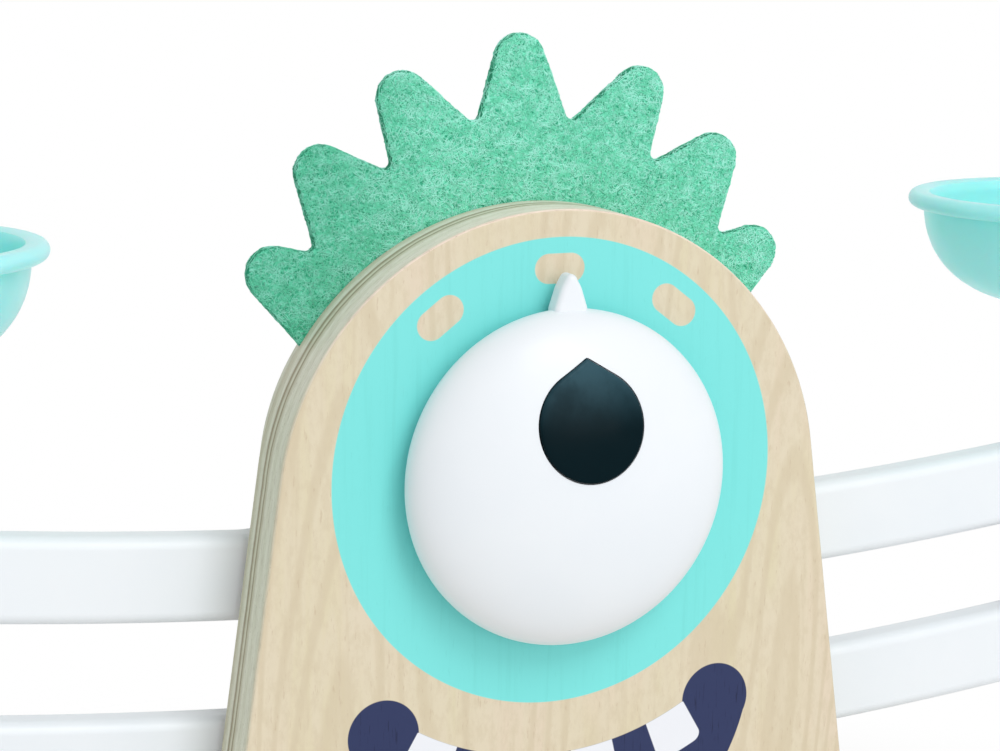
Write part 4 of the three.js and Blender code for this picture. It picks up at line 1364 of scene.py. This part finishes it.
# %% The pointer
POINTER_HALF = 4.3
POINTER_DEPTH = 5.6
POINTER_ROOT = 37
POINTER_ANGLE = math.radians(29)
POINTER_ROUND = 1.5
POINTER_TAPER = 3.2
POINTER_FLANK = 8
POINTER_EDGE = 1.4
POINTER_FOOT_ROUND = 3


def make_pointer():
    apex = POINTER_TIP - POINTER_ROUND + POINTER_ROUND / math.sin(POINTER_ANGLE)
    bend = POINTER_TIP - POINTER_TAPER
    bend_x = (apex - bend) * math.tan(POINTER_ANGLE)
    right = [(POINTER_HALF, POINTER_ROOT, 0), (POINTER_HALF, EYE_RADIUS, POINTER_FOOT_ROUND)]
    right.append((bend_x, bend, POINTER_FLANK))
    left = [(-x, z, rounding) for x, z, rounding in reversed(right)]
    corners = [(x, z + AXLE_UP, rounding) for x, z, rounding in [*right, (0, apex, POINTER_ROUND), *left]]
    return board(corners, EYE_BACK, POINTER_DEPTH, POINTER_EDGE, 5, steps=10)


piece(make_pointer(), "eye_pointer", "upper_beam", [white_plastic], ["eye_dome"])

# %% [markdown]
# ## The pupil
# The pupil is a drop of black plastic let into the dome. Its face follows the dome, 0.6 mm proud, and
# rolls over at its rim. A grid gives it neat rows: one way runs round the drop's outline, and the other
# from the middle out, over the rim and down the side. Moving its vertices to their places is all that is
# left.

# %% Pupil
PUPIL_PROUD = 0.6
PUPIL_ROLL = 0.5
ROWS_FLAT = 14
ROWS_ROLL = 5


def dome_depth(x, z, offset):
    """How far forward the dome's face lies at a place about the axle."""
    share = min((x * x + z * z) / (EYE_RADIUS + offset) ** 2, 1)
    return EYE_WIDEST - (EYE_BULGE + offset) * math.sqrt(1 - share)


def make_pupil():
    around = drop_line()
    bm = bmesh.new()
    count = len(around)
    steps = ROWS_FLAT + ROWS_ROLL + 2
    bmesh.ops.create_grid(bm, x_segments=count, y_segments=steps, size=0.5)
    for vertex in bm.verts:
        outline_point = around[round((vertex.co.x + 0.5) * count) % count]
        row = round((vertex.co.y + 0.5) * steps)
        length = outline_point.length
        if row <= ROWS_FLAT:
            reach, back = (length - PUPIL_ROLL) * row / ROWS_FLAT, 0
        elif row <= ROWS_FLAT + ROWS_ROLL:
            angle = math.pi / 2 * (row - ROWS_FLAT) / ROWS_ROLL
            reach = length - PUPIL_ROLL * (1 - math.sin(angle))
            back = PUPIL_ROLL * (1 - math.cos(angle))
        else:
            reach, back = length, PUPIL_PROUD + PUPIL_SUNK
        spot = outline_point * (reach / length)
        up = spot.y + PUPIL_RISE
        vertex.co = (spot.x, dome_depth(spot.x, up, PUPIL_PROUD) + back, up + AXLE_UP)
    bmesh.ops.remove_doubles(bm, verts=bm.verts, dist=0.001)
    bmesh.ops.holes_fill(bm, edges=[e for e in bm.edges if e.is_boundary])
    bmesh.ops.recalc_face_normals(bm, faces=bm.faces)
    return bm


piece(make_pupil(), "pupil_drop", "upper_beam", [pupil_plastic], ["eye_pupil"])

# %% Hub behind the dome
HUB_NECK = 7
HUB_DISC = 2.4
HUB_BORE_DEPTH = 12
low, high = box_mm("eye_hub")
radius = (high.x - low.x) / 2
disc, floor = high.y - HUB_DISC, high.y - HUB_BORE_DEPTH
profile = [(0, low.y, 0), (HUB_NECK, low.y, 0.6), (HUB_NECK, disc, 1.2), (radius, disc, 0)]
profile += [(radius, high.y, 0.4), (BORE, high.y, 0), (BORE, floor, 0), (0, floor, 0)]
shape = on_pivot(profile)
piece(shape, "eye_socket", "upper_beam", [white_plastic], ["eye_hub"])

# %% [markdown]
# ## The beams
# Both beams are alike: a hub on the pivot, a straight shoulder down to the elbow, and a long arm that
# bows gently to the end pin. The outline is drawn straight from corner to corner. Then the long edges are
# divided and moved onto a circle, which bends the arm before it gets its thickness. The boss is a second,
# narrower round on the hub, which keeps the beam clear of the boards.

# %% Beam outline
ARM_HALF = 10.55
ARM_DEPTH = 10
ARM_EDGE = 3
BOW_RADIUS = 1262
ELBOW = 64
ELBOW_ROUND = 26
HUB_RADIUS = 14
HUB_HALF = 5.3
HUB_ROUND = 0.8
BOSS_RADIUS = 8
BOSS_HALF = 7.5
BOSS_ROUND = 0.5
REACH_MM = ARM_REACH / MM
DROP_MM = END_DROP / MM
PIN_RADIUS = 2


def bow(x):
    """Height of the arm's middle line at a distance from the pivot."""
    return -DROP_MM - math.sqrt(BOW_RADIUS**2 - x**2) + math.sqrt(BOW_RADIUS**2 - REACH_MM**2)


def beam_outline():
    """Draws the right half from the middle out and back, and mirrors it."""
    elbow, tip = Vector((ELBOW, bow(ELBOW))), Vector((REACH_MM, -DROP_MM))
    shoulder, arm = elbow.normalized(), (tip - elbow).normalized()
    up_shoulder, up_arm = Vector((-shoulder.y, shoulder.x)), Vector((-arm.y, arm.x))
    mitre = (up_shoulder + up_arm).normalized()
    mitre = mitre * (ARM_HALF / mitre.dot(up_arm))
    rise = ARM_HALF / shoulder.x
    low, high = elbow - mitre, elbow + mitre
    under, over = tip - up_arm * ARM_HALF, tip + up_arm * ARM_HALF
    bm = bmesh.new()
    corners = [(0, -rise, 0), (low.x, low.y, ELBOW_ROUND), (under.x, under.y, 0)]
    bottom = draw(bm, corners, closed=False, steps=16)
    end = arc_from(bm, bottom[-1], (tip.x, 0, tip.y), -math.pi, 32)
    corners = [(over.x, over.y, 0), (high.x, high.y, ELBOW_ROUND), (0, rise, 0)]
    top = draw(bm, corners, closed=False, steps=16)
    bmesh.ops.pointmerge(bm, verts=[end[-1], top[0]], merge_co=end[-1].co)
    long_edges = [e for e in bm.edges if e.calc_length() > 60]
    bmesh.ops.subdivide_edges(bm, edges=long_edges, cuts=16)
    for vertex in bm.verts:
        if ELBOW < vertex.co.x < REACH_MM:
            vertex.co.z -= (vertex.co.x - ELBOW) * (REACH_MM - vertex.co.x) / (2 * BOW_RADIUS)
    bmesh.ops.mirror(bm, geom=bm.verts[:] + bm.edges[:], axis="X", merge_dist=0.001)
    bmesh.ops.contextual_create(bm, geom=bm.edges)
    return bm


def make_beam(up):
    beam = thicken(beam_outline(), ARM_DEPTH / 2, ARM_DEPTH, ARM_EDGE, 7)
    rounds = []
    for radius, half, edge in ((HUB_RADIUS, HUB_HALF, HUB_ROUND), (BOSS_RADIUS, BOSS_HALF, BOSS_ROUND)):
        line = [(0, -half, 0), (radius, -half, edge), (radius, half, edge), (0, half, 0)]
        rounds.append(turned(line, along="y"))
    beam = combine(beam, rounds, "UNION")
    cuts = [rod(BORE, -BOSS_HALF - 1, BOSS_HALF + 1)]
    for _, side in SIDES:
        end = (side * REACH_MM, 0, -DROP_MM)
        cuts.append(rod(PIN_RADIUS + FIT, -ARM_DEPTH, ARM_DEPTH, centre=end))
    beam = combine(beam, cuts)
    bmesh.ops.translate(beam, verts=beam.verts, vec=(0, 0, up))
    return beam


piece(make_beam(AXLE_UP), "upper_arms", "upper_beam", [white_plastic], ["upper_beam"])
piece(make_beam(LOWER_UP), "lower_arms", "lower_beam", [white_plastic], ["lower_beam"])

# %% [markdown]
# ## The posts
# A post hangs on both beam ends. It is a block with a slot that opens towards the middle and downwards,
# so that both beams can tilt in it, and a turned stem above that flares into a round seat.

# %% Post
PIN_UP = AXLE_UP - DROP_MM
SPACING = (AXLE_Z - LOWER_Z) / MM
CHEEK_HALF = 7
CHEEK_THICK = 3
SLOT_ROOM = 0.6
POST_HALF_DEPTH = ARM_DEPTH / 2 + SLOT_ROOM + CHEEK_THICK
SIDE_ROOM = 0.9
OUTER_WALL = 2.6
SLOT_SIDE = ARM_HALF + SIDE_ROOM
POST_OUTER = SLOT_SIDE + OUTER_WALL
POST_TOP_ROUND = 4
POST_EDGE = 1.2
SLOT_TOP = 19
SLOT_ROUND = 2
BLOCK_TOP = 24
STEM_RADIUS = 6
STEM_SUNK = 2.5
SEAT_RADIUS = 9.6
SEAT_THICK = 3
SPIGOT_RADIUS = 5
SPIGOT_HEIGHT = 2.4
SEAT = box_mm("left_bowl")[0].z - PIN_UP


def stem_line():
    """The stem, its flared seat and the spigot, from the block up."""
    foot, flare = BLOCK_TOP - STEM_SUNK, SEAT - SEAT_THICK
    spigot = SEAT + SPIGOT_HEIGHT
    line = [(0, foot, 0), (STEM_RADIUS, foot, 0), (STEM_RADIUS, flare - SEAT_THICK, 2)]
    line += [(SEAT_RADIUS - SEAT_THICK / 2, flare, 1), (SEAT_RADIUS, SEAT - SEAT_THICK / 2, 0.6)]
    line += [(SEAT_RADIUS, SEAT, 0.5), (SPIGOT_RADIUS, SEAT, 0)]
    return [*line, (SPIGOT_RADIUS, spigot, 0.6), (0, spigot, 0)]


def make_post(side):
    foot = -SPACING - CHEEK_HALF
    corners = [(-CHEEK_HALF, foot, CHEEK_HALF), (POST_OUTER, foot, CHEEK_HALF)]
    corners += [(POST_OUTER, BLOCK_TOP, POST_TOP_ROUND), (-CHEEK_HALF, BLOCK_TOP, POST_TOP_ROUND)]
    body = board(corners, POST_HALF_DEPTH, 2 * POST_HALF_DEPTH, POST_EDGE, 4)
    slot_low, slot_left = foot - 1, -CHEEK_HALF - 1
    size = (SLOT_SIDE - slot_left, ARM_DEPTH + 2 * SLOT_ROOM, SLOT_TOP - slot_low)
    slot = block(size, ((SLOT_SIDE + slot_left) / 2, 0, (SLOT_TOP + slot_low) / 2))
    corner = [e for e in slot.edges if all(v.co.x > 0 and v.co.z > 0 for v in e.verts)]
    round_edges(slot, corner, SLOT_ROUND, 6)
    body = combine(body, [slot])
    body = combine(body, [turned(stem_line())], "UNION")
    through = POST_HALF_DEPTH + 1
    holes = [rod(PIN_RADIUS + FIT, -through, through, centre=(0, 0, height)) for height in (0, -SPACING)]
    body = combine(body, holes)
    if side < 0:
        bmesh.ops.rotate(body, verts=body.verts, matrix=Matrix.Rotation(math.pi, 3, "Z"))
    bmesh.ops.translate(body, verts=body.verts, vec=(side * REACH_MM, 0, PIN_UP))
    return body


# %% Pins and their caps
PIN_CAP_FLOOR = 1
PIN_CAP_ROUND = 1.3


def make_pin(low, high):
    middle = (low + high) / 2
    head = (high.x - low.x) / 2
    face = -POST_HALF_DEPTH
    profile = [(0, low.y, 0), (head, low.y, 1), (head, face, 0)]
    profile += [(PIN_RADIUS, face, 0), (PIN_RADIUS, high.y, 0.3), (0, high.y, 0)]
    return turned(profile, COARSE, "y", centre=(middle.x, 0, middle.z))


def make_cap(low, high):
    middle = (low + high) / 2
    radius, bore = (high.x - low.x) / 2, PIN_RADIUS + FIT
    floor = high.y - PIN_CAP_FLOOR
    profile = [(0, floor, 0), (bore, floor, 0), (bore, low.y, 0)]
    profile += [(radius, low.y, 0.2), (radius, high.y, PIN_CAP_ROUND), (0, high.y, 0)]
    return turned(profile, COARSE, "y", centre=(middle.x, 0, middle.z))


for hand, side in SIDES:
    body = f"{hand}_post"
    piece(make_post(side), f"{hand}_upright", body, [white_plastic], [body])
    for level in ("upper", "lower"):
        name = f"{hand}_{level}_pin"
        piece(make_pin(*box_mm(name)), f"{name}_zinc", body, [zinc], [name])
        cap = f"{name}_cap"
        piece(make_cap(*box_mm(cap)), f"{cap}_white", body, [white_plastic], [cap])

# %% [markdown]
# ## The bowls
# Each bowl is one moulded shell with a flat floor, full sides and a thick rolled rim. Its wall follows a
# curve between an ellipse and a box, outside and inside, and the whole line is spun about Z. A foot ring
# below stands on the post's seat, round its spigot. A shallow dot in the floor is the mark that the
# mould's gate leaves.

# %% Bowl
BOWL_MOUTH = 35.1
BOWL_DEPTH = 29.8
BOWL_WALL = 2
BOWL_SIDE_POWER = 2.3
BOWL_FLOOR_POWER = 2.45
RIM_THICK = 4.2
RIM_RADIUS = 39.2
FOOT_RADIUS = 9.4
FOOT_HEIGHT = 3
FOOT_BORE = SPIGOT_RADIUS + FIT
GATE_RADIUS = 1.6
GATE_DEPTH = 0.2
RIM_STEPS = 16
LIP = (0.2, 0), (1.4, -0.5)


def bowl_wall(mouth, depth, steps=26):
    """The wall's curve as (radius, height) from the mouth to the foot's radius."""
    wall = []
    for k in range(steps + 1):
        drop = math.sin(math.pi / 2 * k / steps)
        radius = mouth * (1 - drop**BOWL_SIDE_POWER) ** (1 / BOWL_FLOOR_POWER)
        wall.append((radius, -RIM_THICK / 2 - drop * depth))
    return [(r, z, 0) for r, z in wall if r > FOOT_RADIUS]


def make_bowl(low, high):
    half = RIM_THICK / 2
    outside = bowl_wall(BOWL_MOUTH, BOWL_DEPTH - half)[1:][::-1]
    inside = bowl_wall(BOWL_MOUTH - BOWL_WALL, BOWL_DEPTH - BOWL_WALL - half)
    foot = -BOWL_DEPTH - FOOT_HEIGHT
    line = [(0, -BOWL_DEPTH, 0), (FOOT_BORE, -BOWL_DEPTH, 0), (FOOT_BORE, foot, 0), (FOOT_RADIUS, foot, 0.4)]
    line += [(FOOT_RADIUS, -BOWL_DEPTH, 0), *outside, (BOWL_MOUTH, -RIM_THICK, 0)]
    for k in range(RIM_STEPS + 1):
        angle = math.pi * (k / RIM_STEPS - 0.5)
        line.append((RIM_RADIUS - half + half * math.cos(angle), -half + half * math.sin(angle), 0))
    line += [(BOWL_MOUTH - inward, drop, 0) for inward, drop in LIP] + inside
    floor = BOWL_WALL - BOWL_DEPTH
    dot = floor - GATE_DEPTH
    line += [(FOOT_RADIUS, floor, 0), (GATE_RADIUS, floor, 0)]
    line += [(GATE_RADIUS - GATE_DEPTH, dot, 0), (0, dot, 0)]
    middle = (low + high) / 2
    return turned(line, 128, centre=(middle.x, middle.y, high.z))


for hand, _ in SIDES:
    name = f"{hand}_bowl"
    piece(make_bowl(*box_mm(name)), f"{name}_shell", name, [mint_plastic], [name])

# %% [markdown]
# ## Studio
# The toy stands on a wide pale floor that runs out of sight. One large soft lamp, high and a little right
# of the front, gives the shape. A weaker one, low on the same side, and an even white sky fill the
# shadows. Seen by the camera, in metal or through glass, the sky is plain white, and so is the far floor.

# %% Floor
def seen_directly(tree):
    """1 for rays that show the background: to the camera, in a reflection, or through something clear."""
    path = node(tree, "ShaderNodeLightPath").outputs
    reflected = sums(tree, "MAXIMUM", path["Is Glossy Ray"], path["Is Transmission Ray"])
    return sums(tree, "MAXIMUM", path["Is Camera Ray"], reflected)


FLOOR_NEAR = 0.12
FLOOR_FAR = 0.34
FLOOR_HALF = 30
FLOOR_GREY = 0.93
floor_bm = bmesh.new()
bmesh.ops.create_grid(floor_bm, x_segments=1, y_segments=1, size=FLOOR_HALF)
floor_mesh = bpy.data.meshes.new("floor")
floor_bm.to_mesh(floor_mesh)
floor_bm.free()
floor = bpy.data.objects.new("floor", floor_mesh)
bpy.context.scene.collection.objects.link(floor)
floor_material, floor_tree, floor_shader = finish("studio_floor", roughness=0.9)
floor_shader.inputs["Base Color"].default_value = (FLOOR_GREY, FLOOR_GREY, FLOOR_GREY, 1)
floor_shader.inputs["Specular IOR Level"].default_value = 0.1
spread = node(floor_tree, "ShaderNodeVectorMath", {0: place(floor_tree, (1, 1, 1))}, operation="LENGTH")
far = fade(floor_tree, spread.outputs["Value"], FLOOR_NEAR, FLOOR_FAR)
white = node(floor_tree, "ShaderNodeEmission")
amount = sums(floor_tree, "MULTIPLY", far, seen_directly(floor_tree))
mixed = node(floor_tree, "ShaderNodeMixShader", {0: amount, 1: floor_shader.outputs[0], 2: white.outputs[0]})
floor_tree.links.new(mixed.outputs[0], floor_tree.nodes["Material Output"].inputs["Surface"])
floor_mesh.materials.append(floor_material)

# %% Lamps and sky
LAMP_TARGET = Vector((0, 0, 150)) * MM
LAMP_DISTANCE = 3.0
LAMP_SIZE = 1.3
SKY_STRENGTH = 0.59


def lamp(name, azimuth, elevation, power):
    """A square soft lamp that looks at the toy's middle; azimuth 0 is in front, positive to the right."""
    a, e = math.radians(azimuth), math.radians(elevation)
    way = Vector((math.sin(a) * math.cos(e), -math.cos(a) * math.cos(e), math.sin(e)))
    data = bpy.data.lights.new(name, "AREA")
    data.shape = "SQUARE"
    data.size = LAMP_SIZE
    data.energy = power
    obj = bpy.data.objects.new(name, data)
    obj.location = LAMP_TARGET + way * LAMP_DISTANCE
    obj.rotation_mode = "QUATERNION"
    obj.rotation_quaternion = way.to_track_quat("Z", "Y")
    bpy.context.scene.collection.objects.link(obj)
    return obj


lamp("key", 15, 45, 30.5)
lamp("front", 20, 15, 9.5)

world = bpy.data.worlds.new("studio")
bpy.context.scene.world = world
world.use_nodes = True
sky = world.node_tree
background = sky.nodes["Background"]
background.inputs["Color"].default_value = (1, 1, 1, 1)
strength = fade(sky, seen_directly(sky), 0.0, 1.0, SKY_STRENGTH, 1.0)
sky.links.new(strength, background.inputs["Strength"])

bpy.context.scene.view_settings.view_transform = "Standard"
print("lamps:", [light.name for light in bpy.data.lights], "sky:", SKY_STRENGTH)
